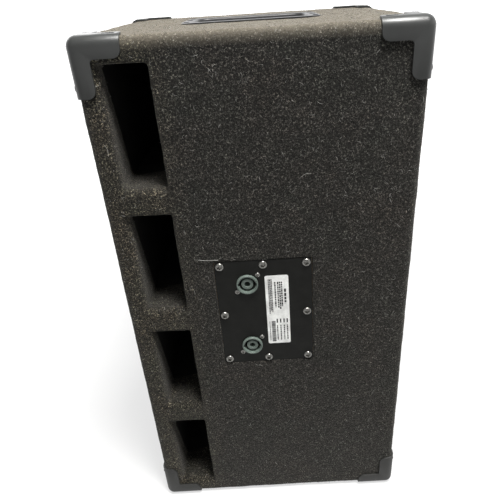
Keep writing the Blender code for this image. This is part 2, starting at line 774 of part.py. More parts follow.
def grille(cabinet):
    """A perforated steel sheet, drawn plain here, with folded edges, over a frame of battens."""
    half_x = INNER_X - 0.0012
    half_z = INNER_Z - 0.0012
    shape = bmesh.new()
    low = (-half_x, GRILLE_Y - GRILLE_FOLD, -half_z)
    put_box(shape, low, (half_x, GRILLE_Y + GRILLE_THICK, half_z))
    sheet = node("grille", shape, GRILLE_PAINT, cabinet, smooth=False)
    hollow = bmesh.new()
    put_box(
        hollow,
        (-half_x + GRILLE_THICK, GRILLE_Y - GRILLE_FOLD - 0.01, -half_z + GRILLE_THICK),
        (half_x - GRILLE_THICK, GRILLE_Y, half_z - GRILLE_THICK),
    )
    boolean(sheet, cutter("grille_hollow", hollow, cabinet))

    outer_x = half_x - GRILLE_THICK - GAP
    outer_z = half_z - GRILLE_THICK - GAP
    shape = bmesh.new()
    put_box(shape, (-outer_x, BAFFLE_Y + GAP, -outer_z), (outer_x, GRILLE_Y - GAP, outer_z))
    frame = node("grille_frame", shape, BLACK_PAINT, cabinet, smooth=False)
    middle = bmesh.new()
    inner_x, inner_z = outer_x - BATTEN, outer_z - BATTEN
    put_box(middle, (-inner_x, BAFFLE_Y - 0.01, -inner_z), (inner_x, GRILLE_Y + 0.01, inner_z))
    boolean(frame, cutter("grille_frame_middle", middle, cabinet))


# ---------------------------------------------------------------- handles and feet


def handle_cups(cabinet, boards):
    """A moulded cup with a grip bar, let into each end panel."""
    for side, name in ((1, "upper"), (-1, "lower")):
        opening = bmesh.new()
        outline = rounded_rectangle(HANDLE_HOLE[0], HANDLE_HOLE[1], 0.016, 3)
        put_prism(opening, outline, 2, *sorted((side * (INNER_Z - 0.01), side * (HALF_Z + 0.01))))
        boolean(boards[name], cutter(f"handle_opening_{name}", opening, cabinet))
        handle_cup(f"handle_cup_{name}", side, cabinet)


def handle_cup(name, side, cabinet):
    """Built as closed rings from the flange down the outside, across the floor and up the inside."""
    surface = HALF_Z + GAP
    flange_top = HALF_Z + 0.0016
    deep = HALF_Z - HANDLE_DEPTH
    width, length = HANDLE_HOLE[0] - 2 * GAP, HANDLE_HOLE[1] - 2 * GAP
    wall = HANDLE_WALL
    levels = [
        (HANDLE_FLANGE[0], HANDLE_FLANGE[1], 0.020, flange_top),
        (HANDLE_FLANGE[0], HANDLE_FLANGE[1], 0.020, surface),
        (width, length, 0.0157, surface),
        (width, length, 0.0157, deep),
        (width - 2 * wall, length - 2 * wall, 0.0135, deep + wall),
        (width - 2 * wall, length - 2 * wall, 0.0135, flange_top),
    ]
    shape = bmesh.new()
    rings = []
    for size_x, size_y, radius, level in levels:
        outline = rounded_rectangle(size_x, size_y, radius, 3)
        rings.append([shape.verts.new((u, v, side * level)) for u, v in outline])
    count = len(rings[0])
    for k in (0, 1, 2, 4, 5):
        below, above = rings[k], rings[(k + 1) % len(rings)]
        for i in range(count):
            after = (i + 1) % count
            shape.faces.new((below[i], below[after], above[after], above[i]))
    shape.faces.new(rings[3])
    shape.faces.new(rings[4])
    cup = node(name, shape, BLACK_PLASTIC, cabinet)
    bar = bmesh.new()
    half = HANDLE_HOLE[0] / 2 - wall + 0.001
    profile = [(0.0, -half), (HANDLE_BAR, -half), (HANDLE_BAR, half), (0.0, half)]
    put_turned(bar, profile, (0, 0, side * (HALF_Z - 0.0125)), (1, 0, 0), 12)
    boolean(cup, cutter(name + "_bar", bar, cabinet), "UNION")


def rubber_feet(cabinet):
    """Four feet, each with a recess for its screw, under the side that the cabinet lies on in use."""
    for y, y_name in ((-FOOT_Y, "rear"), (FOOT_Y, "front")):
        for z, z_name in ((-FOOT_Z, "lower"), (FOOT_Z, "upper")):
            profile = [
                (0.0026, GAP),
                (FOOT_RADIUS, GAP),
                (FOOT_RADIUS - 0.002, FOOT_HEIGHT + GAP),
                (0.0062, FOOT_HEIGHT + GAP),
                (0.0062, 0.0030),
                (0.0026, 0.0030),
            ]
            shape = bmesh.new()
            put_turned(shape, profile, (-HALF_X, y, z), (-1, 0, 0), 16, closed=True)
            node(f"rubber_foot_{z_name}_{y_name}", shape, RUBBER, cabinet)


# ---------------------------------------------------------------- whole object


def main():
    clear_scene()
    cabinet = empty("cabinet_centre", (SHIFT_X, 0, HALF_Z + PROUD))
    boards = outer_boards(cabinet)
    boards.update(inner_boards(cabinet))
    carpet_wrap(cabinet)
    corner_protectors(cabinet)
    connector_plate(cabinet, boards["rear"])
    baffle_holes(cabinet, boards["baffle"])
    driver("upper", DRIVER_Z, cabinet)
    driver("lower", -DRIVER_Z, cabinet)
    internal_leads(cabinet)
    wadding(cabinet)
    grille(cabinet)
    handle_cups(cabinet, boards)
    rubber_feet(cabinet)
    bpy.context.view_layer.update()


main()
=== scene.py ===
import math
from itertools import product

import bmesh
import bpy
import numpy as np
from mathutils import Matrix, Vector, noise


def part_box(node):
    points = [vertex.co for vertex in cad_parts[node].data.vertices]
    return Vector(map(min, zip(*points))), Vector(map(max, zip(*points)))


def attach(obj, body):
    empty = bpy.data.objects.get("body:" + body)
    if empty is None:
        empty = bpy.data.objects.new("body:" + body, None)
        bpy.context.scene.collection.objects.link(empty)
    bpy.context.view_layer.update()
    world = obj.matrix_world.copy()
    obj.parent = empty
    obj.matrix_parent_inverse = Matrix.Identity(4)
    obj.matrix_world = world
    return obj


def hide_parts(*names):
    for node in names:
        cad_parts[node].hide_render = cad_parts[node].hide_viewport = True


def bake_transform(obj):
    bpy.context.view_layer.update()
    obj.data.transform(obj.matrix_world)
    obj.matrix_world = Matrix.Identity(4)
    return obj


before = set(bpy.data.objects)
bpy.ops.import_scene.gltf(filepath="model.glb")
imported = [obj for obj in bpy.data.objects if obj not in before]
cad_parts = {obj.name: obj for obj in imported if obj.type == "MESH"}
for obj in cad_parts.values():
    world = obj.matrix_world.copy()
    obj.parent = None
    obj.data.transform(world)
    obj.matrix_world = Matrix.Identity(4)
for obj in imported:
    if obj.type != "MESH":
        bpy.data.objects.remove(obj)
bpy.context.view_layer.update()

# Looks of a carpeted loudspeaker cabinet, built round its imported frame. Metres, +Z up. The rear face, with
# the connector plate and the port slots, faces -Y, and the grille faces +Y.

CABINET = "cabinet"

# Places, read from the frame
CARPET_LOW, CARPET_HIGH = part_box("carpet_wrap")
PLATE_LOW, PLATE_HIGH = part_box("connector_plate")
CENTRE = (CARPET_LOW + CARPET_HIGH) / 2
REAR_Y = CARPET_LOW.y
FRONT_Y = CARPET_HIGH.y
BAFFLE_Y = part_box("front_baffle")[1].y

# Carpet
SKIN = 0.0033
CARPET_THICK = 0.003
CARPET_ROUND = 0.008
CELL = 0.0052
LINING_DEPTH = 0.0540
# Painted shadow: the turned-in carpet in the slots ends along a slanted line where the shade inside them
# begins, so the black board behind shows as the shadow.
LINING_SHADOW_SLANT = (0.0140, 0.0410)
SOFT_ROLL = 0.0098
TIGHT_ROLL = 0.0024

# Where the carpet's tone starts to change, and where it has changed
PORT_STRIP = (CENTRE.x - 0.075, CENTRE.x - 0.115)
PORT_CORNER = (CARPET_LOW.x + 0.001, CARPET_LOW.x + 0.008)
# Painted shade: the carpet inside the port slots is darkened from the first depth to the second.
SLOT_SHADE_DEPTHS = (REAR_Y + 0.003, REAR_Y + 0.012)
# Pale dust on the top, and painted light: the top face and its rounded edge are lightened as the lamp above
# lights them.
DUST_AND_TOP_LIGHT = (CARPET_HIGH.z - 0.014, CARPET_HIGH.z - 0.001)

# Corner protectors
GUARD_PROUD = 0.0025
GUARD_THICK = 0.0022
GUARD_LONG = 0.057
GUARD_SHORT = 0.052
GUARD_ARM = 0.0190
GUARD_END_ROUND = 0.0085
GUARD_INNER_ROUND = 0.004
GUARD_SCREWS = ((-0.0105, -0.0430, -0.0010), (-0.0010, -0.0105, -0.0475))
SCREW_WELL = [(0, -0.0009), (0.0021, -0.0009), (0.0037, 0.0002), (0.0037, 0.004), (0, 0.004)]

# Drivers: radii, and levels measured forwards from the front of the baffle
FRAME_RADIUS = 0.129
FLANGE_FRONT = 0.0066
CONE_RADIUS = 0.0960
SURROUND_IN = 0.0970
SURROUND_OUT = 0.1115
FRONT_PLATE = -0.0815

# Studio
DARK_STRIP_Y = -0.95
WHITE = (1.0, 1.0, 1.0, 1.0)

RNG = np.random.default_rng(11)


# ---- materials


class Finish:
    """A Principled material, with short ways to add procedural nodes to it."""

    def __init__(self, name, roughness, metallic=0.0, specular=0.5):
        self.made = bpy.data.materials.new(name)
        self.made.use_nodes = True
        self.tree = self.made.node_tree
        self.shader = self.tree.nodes["Principled BSDF"].inputs
        self.fill(self.shader, {"Roughness": roughness, "Metallic": metallic, "Specular IOR Level": specular})
        self.place = self.tree.nodes.new("ShaderNodeTexCoord").outputs["Object"]

    def fill(self, sockets, values):
        """Gives each socket its value, or links another node's output to it."""
        for key, value in values.items():
            if isinstance(value, bpy.types.NodeSocket):
                self.tree.links.new(value, sockets[key])
            else:
                sockets[key].default_value = value

    def node(self, kind, values):
        made = self.tree.nodes.new("ShaderNode" + kind)
        self.fill(made.inputs, values)
        return made

    def noise(self, scale, detail=3.0, rough=0.6, distortion=0.0, stretch=None):
        """Noise with about scale features a metre, in object space."""
        place = self.place
        if stretch:
            place = self.node("Mapping", {"Vector": place, "Scale": stretch}).outputs["Vector"]
        look = {"Scale": scale, "Detail": detail, "Roughness": rough, "Distortion": distortion}
        return self.node("TexNoise", {"Vector": place, **look}).outputs["Fac"]

    def cells(self, scale):
        return self.node("TexVoronoi", {"Vector": self.place, "Scale": scale}).outputs["Distance"]

    def ramp(self, factor, stops):
        """Colours by factor. stops: (position, (r, g, b))."""
        made = self.node("ValToRGB", {"Fac": factor})
        points = made.color_ramp.elements
        while len(points) < len(stops):
            points.new(0.5)
        for point, (position, colour) in zip(points, stops):
            point.position = position
            point.color = (*colour, 1.0)
        return made.outputs["Color"]

    def spots(self, factor, start, end):
        """Black below start and white above end."""
        return self.ramp(factor, [(start, (0.0, 0.0, 0.0)), (end, (1.0, 1.0, 1.0))])

    def mixed(self, kind, first, second, factor=1.0):
        made = self.node("Mix", {})
        made.data_type, made.blend_type = "RGBA", kind
        colours = [c if isinstance(c, bpy.types.NodeSocket) else (*c, 1.0) for c in (first, second)]
        self.fill(made.inputs, {6: colours[0], 7: colours[1], 0: factor})
        return made.outputs[2]

    def maths(self, operation, first, second=0.5):
        made = self.node("Math", {0: first, 1: second})
        made.operation = operation
        return made.outputs[0]

    def along(self, axis):
        return self.node("SeparateXYZ", {0: self.place}).outputs[axis]

    def share(self, value, start, end):
        """0 at start, 1 at end and clamped outside them."""
        return self.node("MapRange", {"Value": value, "From Min": start, "From Max": end}).outputs["Result"]

    def colour(self, output):
        self.fill(self.shader, {"Base Color": output})

    def rough(self, factor, low, high):
        made = self.node("MapRange", {"Value": factor, "To Min": low, "To Max": high})
        self.fill(self.shader, {"Roughness": made.outputs["Result"]})

    def bump(self, *layers):
        """Layers of (height, depth in metres, strength)."""
        below = None
        for height, depth, strength in layers:
            made = self.node("Bump", {"Height": height, "Distance": depth, "Strength": strength})
            if below:
                self.fill(made.inputs, {"Normal": below})
            below = made.outputs["Normal"]
        self.fill(self.shader, {"Normal": below})

    def sheen(self, weight, roughness, tint):
        look = {"Sheen Weight": weight, "Sheen Roughness": roughness, "Sheen Tint": (*tint, 1.0)}
        self.fill(self.shader, look)


def carpet_finish():
    """Charcoal needle felt: heathered at fibre scale, with faint brown and green patches and pale dust,
    painted shade inside the port slots and painted light on the top.
    """
    made = Finish("carpet", 0.95, specular=0.15)
    heather = made.ramp(
        made.noise(580, 3.0, 0.62, 1.1),
        [
            (0.39, (0.0006, 0.0006, 0.0005)), (0.49, (0.0046, 0.0044, 0.0040)),
            (0.57, (0.0190, 0.0183, 0.0168)), (0.68, (0.1250, 0.1200, 0.1100)),
        ],
    )
    off_middle = made.maths("ABSOLUTE", made.maths("SUBTRACT", made.noise(420, 3.0, 0.6, 1.3), 0.5))
    curls = made.ramp(off_middle, [(0.0, (2.6, 2.6, 2.5)), (0.03, (1.5,) * 3), (0.10, (0.45,) * 3)])
    heather = made.mixed("MULTIPLY", heather, curls)
    tone = made.ramp(
        made.noise(17, 3.0, 0.6, 0.6),
        [(0.32, (0.88, 0.93, 0.88)), (0.52, (1.0, 0.98, 0.96)), (0.70, (1.12, 1.03, 0.97))],
    )
    patches = made.ramp(made.noise(70, 4.0, 0.65), [(0.30, (0.72,) * 3), (0.72, (1.22, 1.22, 1.20))])
    body = made.mixed("MULTIPLY", made.mixed("MULTIPLY", heather, tone), patches)
    dust = made.spots(made.noise(330, 6.0, 0.8, 1.4), 0.63, 0.76)
    body = made.mixed("MIX", body, (0.135, 0.128, 0.110), made.maths("MULTIPLY", dust, 0.55))
    off_side = made.share(made.along("X"), *PORT_CORNER)
    port_side = made.maths("MULTIPLY", made.share(made.along("X"), *PORT_STRIP), off_side)
    body = made.mixed("MULTIPLY", body, (1.58, 1.50, 1.24), port_side)
    # Painted shade: the carpet turned into the port slots is darkened to 0.55 of its colour.
    in_slot_shade = made.maths("MULTIPLY", made.share(made.along("Y"), *SLOT_SHADE_DEPTHS), port_side)
    body = made.mixed("MULTIPLY", body, (0.55,) * 3, in_slot_shade)
    # Pale dust and painted light: the top face and its rounded edge are lightened towards the top.
    dust_and_top_light = made.maths("MULTIPLY", made.share(made.along("Z"), *DUST_AND_TOP_LIGHT), 0.95)
    made.colour(made.mixed("ADD", body, (0.118, 0.104, 0.080), dust_and_top_light))
    made.bump((made.noise(150, 3.0, 0.6), 0.0020, 0.6), (made.noise(340, 5.0, 0.8, 0.9), 0.0018, 1.0))
    made.sheen(0.16, 0.55, (0.75, 0.72, 0.66))
    return made.made


def fibre_finish(name, stops, scale):
    made = Finish(name, 0.85, specular=0.2)
    made.colour(made.ramp(made.noise(scale, 2.0, 0.6), stops))
    made.bump((made.noise(2400, 2.0, 0.5), 0.0002, 0.3))
    return made.made


def plastic_finish(name, colour, roughness, grain=1500, scuffs=0.5, lighter=1.5):
    """Moulded plastic: fine pebble, faint tone changes and pale scuffs."""
    made = Finish(name, roughness, specular=0.5)
    dark = [0.86 * value for value in colour]
    tone = made.ramp(made.noise(38, 4.0, 0.6), [(0.35, dark), (0.65, colour)])
    scratch = made.spots(made.noise(260, 7.0, 0.75, 1.6, (1.0, 0.35, 1.6)), 0.64, 0.78)
    worn = [min(1.0, value * lighter + 0.01) for value in colour]
    made.colour(made.mixed("MIX", tone, worn, made.maths("MULTIPLY", scratch, scuffs)))
    made.rough(made.noise(85, 4.0, 0.65), roughness - 0.07, roughness + 0.12)
    made.bump((made.noise(grain, 2.0, 0.5), 0.00010, 0.35), (made.noise(140, 2.0, 0.5), 0.0003, 0.10))
    return made.made


def paint_finish(name, colour, roughness, orange_peel=900, depth=0.00012):
    """Powder coat: an even colour with orange peel and a few rubbed spots."""
    made = Finish(name, roughness, specular=0.20)
    lighter = [value * 1.7 + 0.002 for value in colour]
    made.colour(made.ramp(made.noise(55, 5.0, 0.7), [(0.40, colour), (0.78, lighter)]))
    made.rough(made.noise(120, 4.0, 0.6), roughness - 0.06, roughness + 0.14)
    made.bump((made.noise(orange_peel, 2.0, 0.5), depth, 0.45))
    return made.made


def metal_finish(name, colour, roughness, brushed=None):
    made = Finish(name, roughness, metallic=1.0)
    dull = [0.62 * value for value in colour]
    made.colour(made.ramp(made.noise(420, 5.0, 0.7, 0.5), [(0.34, dull), (0.60, colour)]))
    made.rough(made.noise(520, 4.0, 0.6), roughness - 0.08, roughness + 0.20)
    made.bump((made.noise(1500, 3.0, 0.6, 0.0, brushed), 0.00008, 0.3))
    return made.made


def board_finish():
    """Plywood with its grain, painted black on the walls of the port."""
    made = Finish("boards", 0.72, specular=0.3)
    grain = made.ramp(
        made.noise(26, 6.0, 0.65, 1.2, (1.0, 1.0, 0.12)),
        [(0.30, (0.27, 0.17, 0.09)), (0.50, (0.42, 0.29, 0.17)), (0.72, (0.55, 0.41, 0.26))],
    )
    blacks = [(0.35, (0.010, 0.010, 0.0095)), (0.75, (0.022, 0.021, 0.019))]
    paint = made.ramp(made.noise(60, 4.0, 0.6), blacks)
    painted = made.maths("LESS_THAN", made.along("X"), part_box("port_shelf")[0].x + 0.001)
    in_front = made.maths("GREATER_THAN", made.along("Y"), BAFFLE_Y - 0.001)
    made.colour(made.mixed("MIX", grain, paint, made.maths("MAXIMUM", painted, in_front)))
    made.bump((made.noise(160, 5.0, 0.7, 0.6, (1.0, 1.0, 0.10)), 0.0004, 0.4))
    return made.made


def cloth_finish(name, dark, light, scale, sheen=0.1):
    made = Finish(name, 0.92, specular=0.15)
    made.colour(made.ramp(made.noise(scale, 4.0, 0.7, 0.5), [(0.34, dark), (0.66, light)]))
    made.bump((made.noise(scale, 4.0, 0.7), 0.0008, 0.6), (made.cells(scale * 1.6), 0.0003, 0.4))
    made.sheen(sheen, 0.5, light)
    return made.made


def make_finishes():
    grey = (0.031, 0.0325, 0.0315)
    # Painted shade: a darker grey for the lower protectors, where less light falls.
    shaded_grey = (0.0150, 0.0152, 0.0135)
    curly = [(0.38, (0.005, 0.0048, 0.0045)), (0.52, (0.034, 0.033, 0.030)), (0.66, (0.180, 0.174, 0.160))]
    return {
        "carpet": carpet_finish(),
        "fuzz": fibre_finish("carpet_fuzz", curly, 380),
        "lint": fibre_finish("lint", [(0.35, (0.12, 0.118, 0.11)), (0.62, (0.46, 0.455, 0.43))], 120),
        "guard": plastic_finish("corner_plastic", grey, 0.34, 1900, 0.35),
        # Painted shade: a darker copy of the protector plastic for the lower corners.
        "grimy_guard": plastic_finish("corner_plastic_painted_shade", shaded_grey, 0.50, 1900, 0.35, 2.2),
        "plate": paint_finish("plate_paint", (0.0048, 0.0050, 0.0042), 0.42),
        "screw": metal_finish("plated_steel", (0.34, 0.335, 0.315), 0.22),
        "dark_screw": metal_finish("black_screw_steel", (0.045, 0.045, 0.047), 0.38),
        "socket": plastic_finish("socket_plastic", (0.115, 0.145, 0.127), 0.36, scuffs=0.7, lighter=1.6),
        # Painted shade: near-black plastic that lines the sockets' deep wells.
        "socket_dark": plastic_finish("socket_well_painted_shade", (0.012, 0.013, 0.012), 0.40),
        "contact": metal_finish("contact_metal", (0.62, 0.50, 0.30), 0.25),
        "label": paint_finish("label_film", (0.62, 0.625, 0.61), 0.42, 500, 0.00005),
        "ink": paint_finish("label_ink", (0.012, 0.012, 0.013), 0.6),
        "handle": plastic_finish("handle_plastic", (0.020, 0.020, 0.021), 0.36, 1300, 0.4),
        "foot": plastic_finish("foot_rubber", (0.016, 0.016, 0.016), 0.75, 900, 0.5, 2.6),
        "grille": paint_finish("grille_paint", (0.014, 0.014, 0.015), 0.40),
        "battens": paint_finish("batten_paint", (0.012, 0.012, 0.011), 0.75, 260, 0.0004),
        "boards": board_finish(),
        "wadding": cloth_finish("wadding", (0.42, 0.42, 0.39), (0.66, 0.66, 0.62), 260),
        "leads": plastic_finish("lead_sleeve", (0.30, 0.025, 0.022), 0.42),
        "basket": paint_finish("basket_enamel", (0.030, 0.030, 0.032), 0.38),
        "ferrite": paint_finish("ferrite", (0.052, 0.050, 0.048), 0.66, 420, 0.0004),
        "motor": metal_finish("passivated_steel", (0.50, 0.47, 0.38), 0.34),
        "surround": cloth_finish("surround_rubber", (0.012, 0.012, 0.0125), (0.024, 0.024, 0.025), 900, 0.02),
        "spider": cloth_finish("spider_cloth", (0.34, 0.22, 0.07), (0.52, 0.38, 0.16), 1400),
        "cone": cloth_finish("cone_paper", (0.016, 0.016, 0.017), (0.040, 0.040, 0.042), 420, 0.05),
        "coil": metal_finish("coil_copper", (0.62, 0.30, 0.13), 0.35, (1.0, 8.0, 1.0)),
    }


FINISHES = make_finishes()


# ---- modelling helpers


def linked(name, data):
    """A new object in the scene."""
    made = bpy.data.objects.new(name, data)
    bpy.context.collection.objects.link(made)
    return made


def meshed(name, shape):
    mesh = bpy.data.meshes.new(name)
    shape.to_mesh(mesh)
    shape.free()
    return mesh


def piece(name, shape, *look, **more):
    """A finished piece from a bmesh."""
    return finished(name, meshed(name, shape), *look, **more)


def finished(name, mesh, finish, slot, body=CABINET, sharp=35.0, replaces=(), place=None):
    """A piece of the object: shaded, riding on its body and standing for its CAD nodes."""
    if sharp is not None:
        mesh.shade_smooth()
        mesh.set_sharp_from_angle(angle=math.radians(sharp))
    if not mesh.materials:
        mesh.materials.append(FINISHES[finish])
    made = linked(name, mesh)
    if place is not None:
        made.matrix_world = place
    if body:
        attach(made, body)
    if replaces:
        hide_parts(*replaces)
    return made


def helper(name, shape):
    """A cutter: an object that only a Boolean uses."""
    bmesh.ops.recalc_face_normals(shape, faces=shape.faces)
    return linked(name, meshed(name, shape))


def box_helper(name, *box):
    shape = bmesh.new()
    put_box(shape, *box)
    return helper(name, shape)


def middle_of(node):
    return [(a + b) / 2 for a, b in zip(*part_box(node))]


def cut(target, *others, operation="DIFFERENCE"):
    """Applies Booleans to a helper object and removes the cutters."""
    for other in others:
        step = target.modifiers.new(other.name, "BOOLEAN")
        step.operation = operation
        step.object = other
    settle(target)
    for other in others:
        bpy.data.objects.remove(other, do_unlink=True)


def settle(target):
    bpy.context.view_layer.update()
    graph = bpy.context.evaluated_depsgraph_get()
    mesh = bpy.data.meshes.new_from_object(target.evaluated_get(graph))
    target.modifiers.clear()
    target.data = mesh


def taken(target):
    """The mesh of a helper object, which is removed."""
    mesh = target.data
    bpy.data.objects.remove(target, do_unlink=True)
    return mesh


def put_turned(shape, profile, centre=(0, 0, 0), direction=(0, 0, 1), segments=48, closed=False):
    """(radius, height) points turned about a direction through centre."""
    turn = Vector((0, 0, 1)).rotation_difference(Vector(direction)).to_matrix()
    rings = []
    for radius, height in profile:
        if radius == 0.0:
            rings.append([shape.verts.new(turn @ Vector((0, 0, height)) + Vector(centre))] * segments)
            continue
        ring = []
        for k in range(segments):
            angle = math.tau * k / segments
            spot = Vector((radius * math.cos(angle), radius * math.sin(angle), height))
            ring.append(shape.verts.new(turn @ spot + Vector(centre)))
        rings.append(ring)
    pairs = list(zip(rings, rings[1:]))
    if closed:
        pairs.append((rings[-1], rings[0]))
    for below, above in pairs:
        for k in range(segments):
            after = (k + 1) % segments
            corners = list(dict.fromkeys([below[k], below[after], above[after], above[k]]))
            if len(corners) > 2:
                shape.faces.new(corners)


def turned(name, profile, finish, slot, centre, direction, segments=96, closed=False, **more):
    shape = bmesh.new()
    put_turned(shape, profile, centre, direction, segments, closed)
    bmesh.ops.recalc_face_normals(shape, faces=shape.faces)
    return piece(name, shape, finish, slot, **more)


def put_box(shape, low, high, round_edges=0.0, segments=2):
    size = [b - a for a, b in zip(low, high)]
    middle = [(a + b) / 2 for a, b in zip(low, high)]
    move = Matrix.Translation(middle) @ Matrix.Diagonal((*size, 1.0))
    made = bmesh.ops.create_cube(shape, size=1.0, matrix=move)["verts"]
    if round_edges:
        edges = list({edge for vert in made for edge in vert.link_edges})
        bmesh.ops.bevel(shape, geom=edges, offset=round_edges, segments=segments, profile=0.5, affect="EDGES")


def arc(centre, radius, start, end, steps):
    points = []
    for k in range(steps + 1):
        angle = math.radians(start + (end - start) * k / steps)
        points.append((centre[0] + radius * math.cos(angle), centre[1] + radius * math.sin(angle)))
    return points


def rounded_rectangle(width, height, radius, steps=8):
    points = []
    for sign_u, sign_v, start in ((1, 1, 0), (-1, 1, 90), (-1, -1, 180), (1, -1, 270)):
        centre = (sign_u * (width / 2 - radius), sign_v * (height / 2 - radius))
        points += arc(centre, radius, start, start + 90, steps)
    return points


def put_prism(shape, outline, axis, low, high):
    others = [k for k in range(3) if k != axis]
    rings = []
    for level in (low, high):
        ring = []
        for u, v in outline:
            point = [0.0, 0.0, 0.0]
            point[axis] = level
            point[others[0]] = u
            point[others[1]] = v
            ring.append(shape.verts.new(point))
        rings.append(ring)
    shape.faces.new(rings[0])
    shape.faces.new(list(reversed(rings[1])))
    join_rings(shape, rings[0], rings[1])


def join_rings(shape, first, second):
    count = len(first)
    for k in range(count):
        after = (k + 1) % count
        shape.faces.new((first[k], second[k], second[after], first[after]))


def around(centre, count, radius, forwards):
    """Points evenly round a Y axis through centre, the first half a step from +X."""
    angles = [math.radians(360 / count * (k + 0.5)) for k in range(count)]
    return [centre + Vector((radius * math.cos(a), forwards, radius * math.sin(a))) for a in angles]


def facing(direction, centre):
    """A placement that turns +Z to a direction."""
    turn = Vector((0, 0, 1)).rotation_difference(Vector(direction)).to_matrix().to_4x4()
    return Matrix.Translation(centre) @ turn


# ---- carpet


def grid_lines(low, high, stops, rounding):
    """Grid lines through every stop, a cell apart at most, and three to each half of a rounded edge."""
    fixed = sorted({low, low + rounding, high - rounding, high, *stops})
    lines = []
    for a, b in zip(fixed, fixed[1:]):
        cell = rounding / 3 if (b <= low + rounding or a >= high - rounding) else CELL
        count = max(1, math.ceil((b - a) / cell - 1e-6))
        lines += [a + (b - a) * k / count for k in range(count)]
    return lines + [high]


class Opening:
    """A rectangular opening in the front or the rear of the carpet, turned in at its edges.

    rolls: how far the turn reaches beyond the opening at its low x, high x, low z and high z sides.
    slant: how much deeper the turned-in flap is at high x, and how much less deep at high z.
    """

    def __init__(self, low, high, rolls, corner, depth, slant=(0.0, 0.0)):
        self.low, self.high, self.rolls, self.corner = low, high, rolls, corner
        self.depth, self.slant = depth, slant

    def depth_at(self, x, z):
        across = (x - self.low[0]) / (self.high[0] - self.low[0])
        upwards = (z - self.low[1]) / (self.high[1] - self.low[1])
        return self.depth + self.slant[0] * across - self.slant[1] * upwards

    def outer(self):
        left, right, bottom, top = self.rolls
        return (self.low[0] - left, self.low[1] - bottom), (self.high[0] + right, self.high[1] + top)

    def mouth(self, x, z):
        """The point of the rounded mouth that a point of the outer rectangle turns into."""
        spot, near = [], []
        for value, outer_low, outer_high, low, high in zip((x, z), *self.outer(), self.low, self.high):
            spot.append(low + (value - outer_low) / (outer_high - outer_low) * (high - low))
            near.append(min(max(spot[-1], low + self.corner), high - self.corner))
        away = Vector((spot[0] - near[0], spot[1] - near[1]))
        if away.length > 1e-9:
            away *= self.corner / away.length
        return near[0] + away.x, near[1] + away.y


def slot_openings():
    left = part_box("port_side_panel")[1].x + SKIN
    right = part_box("port_shelf")[0].x - SKIN
    stops = [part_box("end_panel_lower")[1].z]
    for k in (1, 2, 3):
        low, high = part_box(f"port_divider_{k}")
        stops += [low.z, high.z]
    stops.append(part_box("end_panel_upper")[0].z)
    found = []
    for bottom, top in zip(stops[::2], stops[1::2]):
        rolls = (SOFT_ROLL, TIGHT_ROLL, SOFT_ROLL, TIGHT_ROLL)
        low, high = (left, bottom + SKIN), (right, top - SKIN)
        # The slanted lining end lets the black board stand in for the shadow inside each slot.
        found.append(Opening(low, high, rolls, 0.0045, LINING_DEPTH, LINING_SHADOW_SLANT))
    return found


def plate_opening():
    margin = 0.0004
    low = (PLATE_LOW.x - margin, PLATE_LOW.z - margin)
    high = (PLATE_HIGH.x + margin, PLATE_HIGH.z + margin)
    return Opening(low, high, (0.0016,) * 4, 0.0026, CARPET_THICK)


def grille_opening():
    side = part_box("plain_side_panel")[0].x - CARPET_THICK
    low_x = 2 * CENTRE.x - side
    low_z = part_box("end_panel_lower")[1].z + CARPET_THICK
    high_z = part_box("end_panel_upper")[0].z - CARPET_THICK
    return Opening((low_x, low_z), (side, high_z), (0.0045,) * 4, 0.004, 0.0095)


def handle_rectangle():
    low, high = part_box("handle_cup_upper")
    lap = 0.008
    return (low.x + lap, low.y + lap), (high.x - lap, high.y - lap)


def carpet_cover():
    """One surface: a rounded box on a grid that follows every opening, with each opening turned in."""
    rear = [*slot_openings(), plate_opening()]
    front = [grille_opening()]
    handle_low, handle_high = handle_rectangle()
    stops_x = [handle_low[0], handle_high[0]]
    stops_z = []
    for opening in rear + front:
        low, high = opening.outer()
        stops_x += [low[0], high[0]]
        stops_z += [low[1], high[1]]
    lines = [
        grid_lines(CARPET_LOW.x, CARPET_HIGH.x, stops_x, CARPET_ROUND),
        grid_lines(CARPET_LOW.y, CARPET_HIGH.y, [handle_low[1], handle_high[1]], CARPET_ROUND),
        grid_lines(CARPET_LOW.z, CARPET_HIGH.z, stops_z, CARPET_ROUND),
    ]
    shape = bmesh.new()
    known = {}

    def vert(index):
        if index not in known:
            spot = Vector([lines[axis][index[axis]] for axis in range(3)])
            limits = zip(spot, CARPET_LOW, CARPET_HIGH)
            near = Vector([min(max(a, low + CARPET_ROUND), high - CARPET_ROUND) for a, low, high in limits])
            away = spot - near
            known[index] = shape.verts.new(near + away * (CARPET_ROUND / away.length))
        return known[index]

    holes = {
        (1, 0): [opening.outer() for opening in rear],
        (1, 1): [opening.outer() for opening in front],
        (2, 0): [(handle_low, handle_high)],
        (2, 1): [(handle_low, handle_high)],
    }
    for axis in range(3):
        first, second = [k for k in range(3) if k != axis]
        for side in (0, 1):
            level = side * (len(lines[axis]) - 1)
            for a in range(len(lines[first]) - 1):
                u = (lines[first][a] + lines[first][a + 1]) / 2
                for b in range(len(lines[second]) - 1):
                    v = (lines[second][b] + lines[second][b + 1]) / 2
                    gaps = holes.get((axis, side), [])
                    if any(low[0] < u < high[0] and low[1] < v < high[1] for low, high in gaps):
                        continue
                    corners = []
                    for da, db in ((0, 0), (1, 0), (1, 1), (0, 1)):
                        index = [0, 0, 0]
                        index[axis], index[first], index[second] = level, a + da, b + db
                        corners.append(vert(tuple(index)))
                    shape.faces.new(corners)

    for side, openings in ((0, rear), (1, front)):
        for opening in openings:
            turn_in(shape, known, lines, opening, side)
    bmesh.ops.recalc_face_normals(shape, faces=shape.faces)
    shape.normal_update()
    top = max(shape.faces, key=lambda face: face.calc_center_median().z)
    if top.normal.z < 0:
        bmesh.ops.reverse_faces(shape, faces=shape.faces)
    ripple(shape)
    return piece("carpet_cover", shape, "carpet", "carpet", sharp=70.0, replaces=("carpet_wrap",))


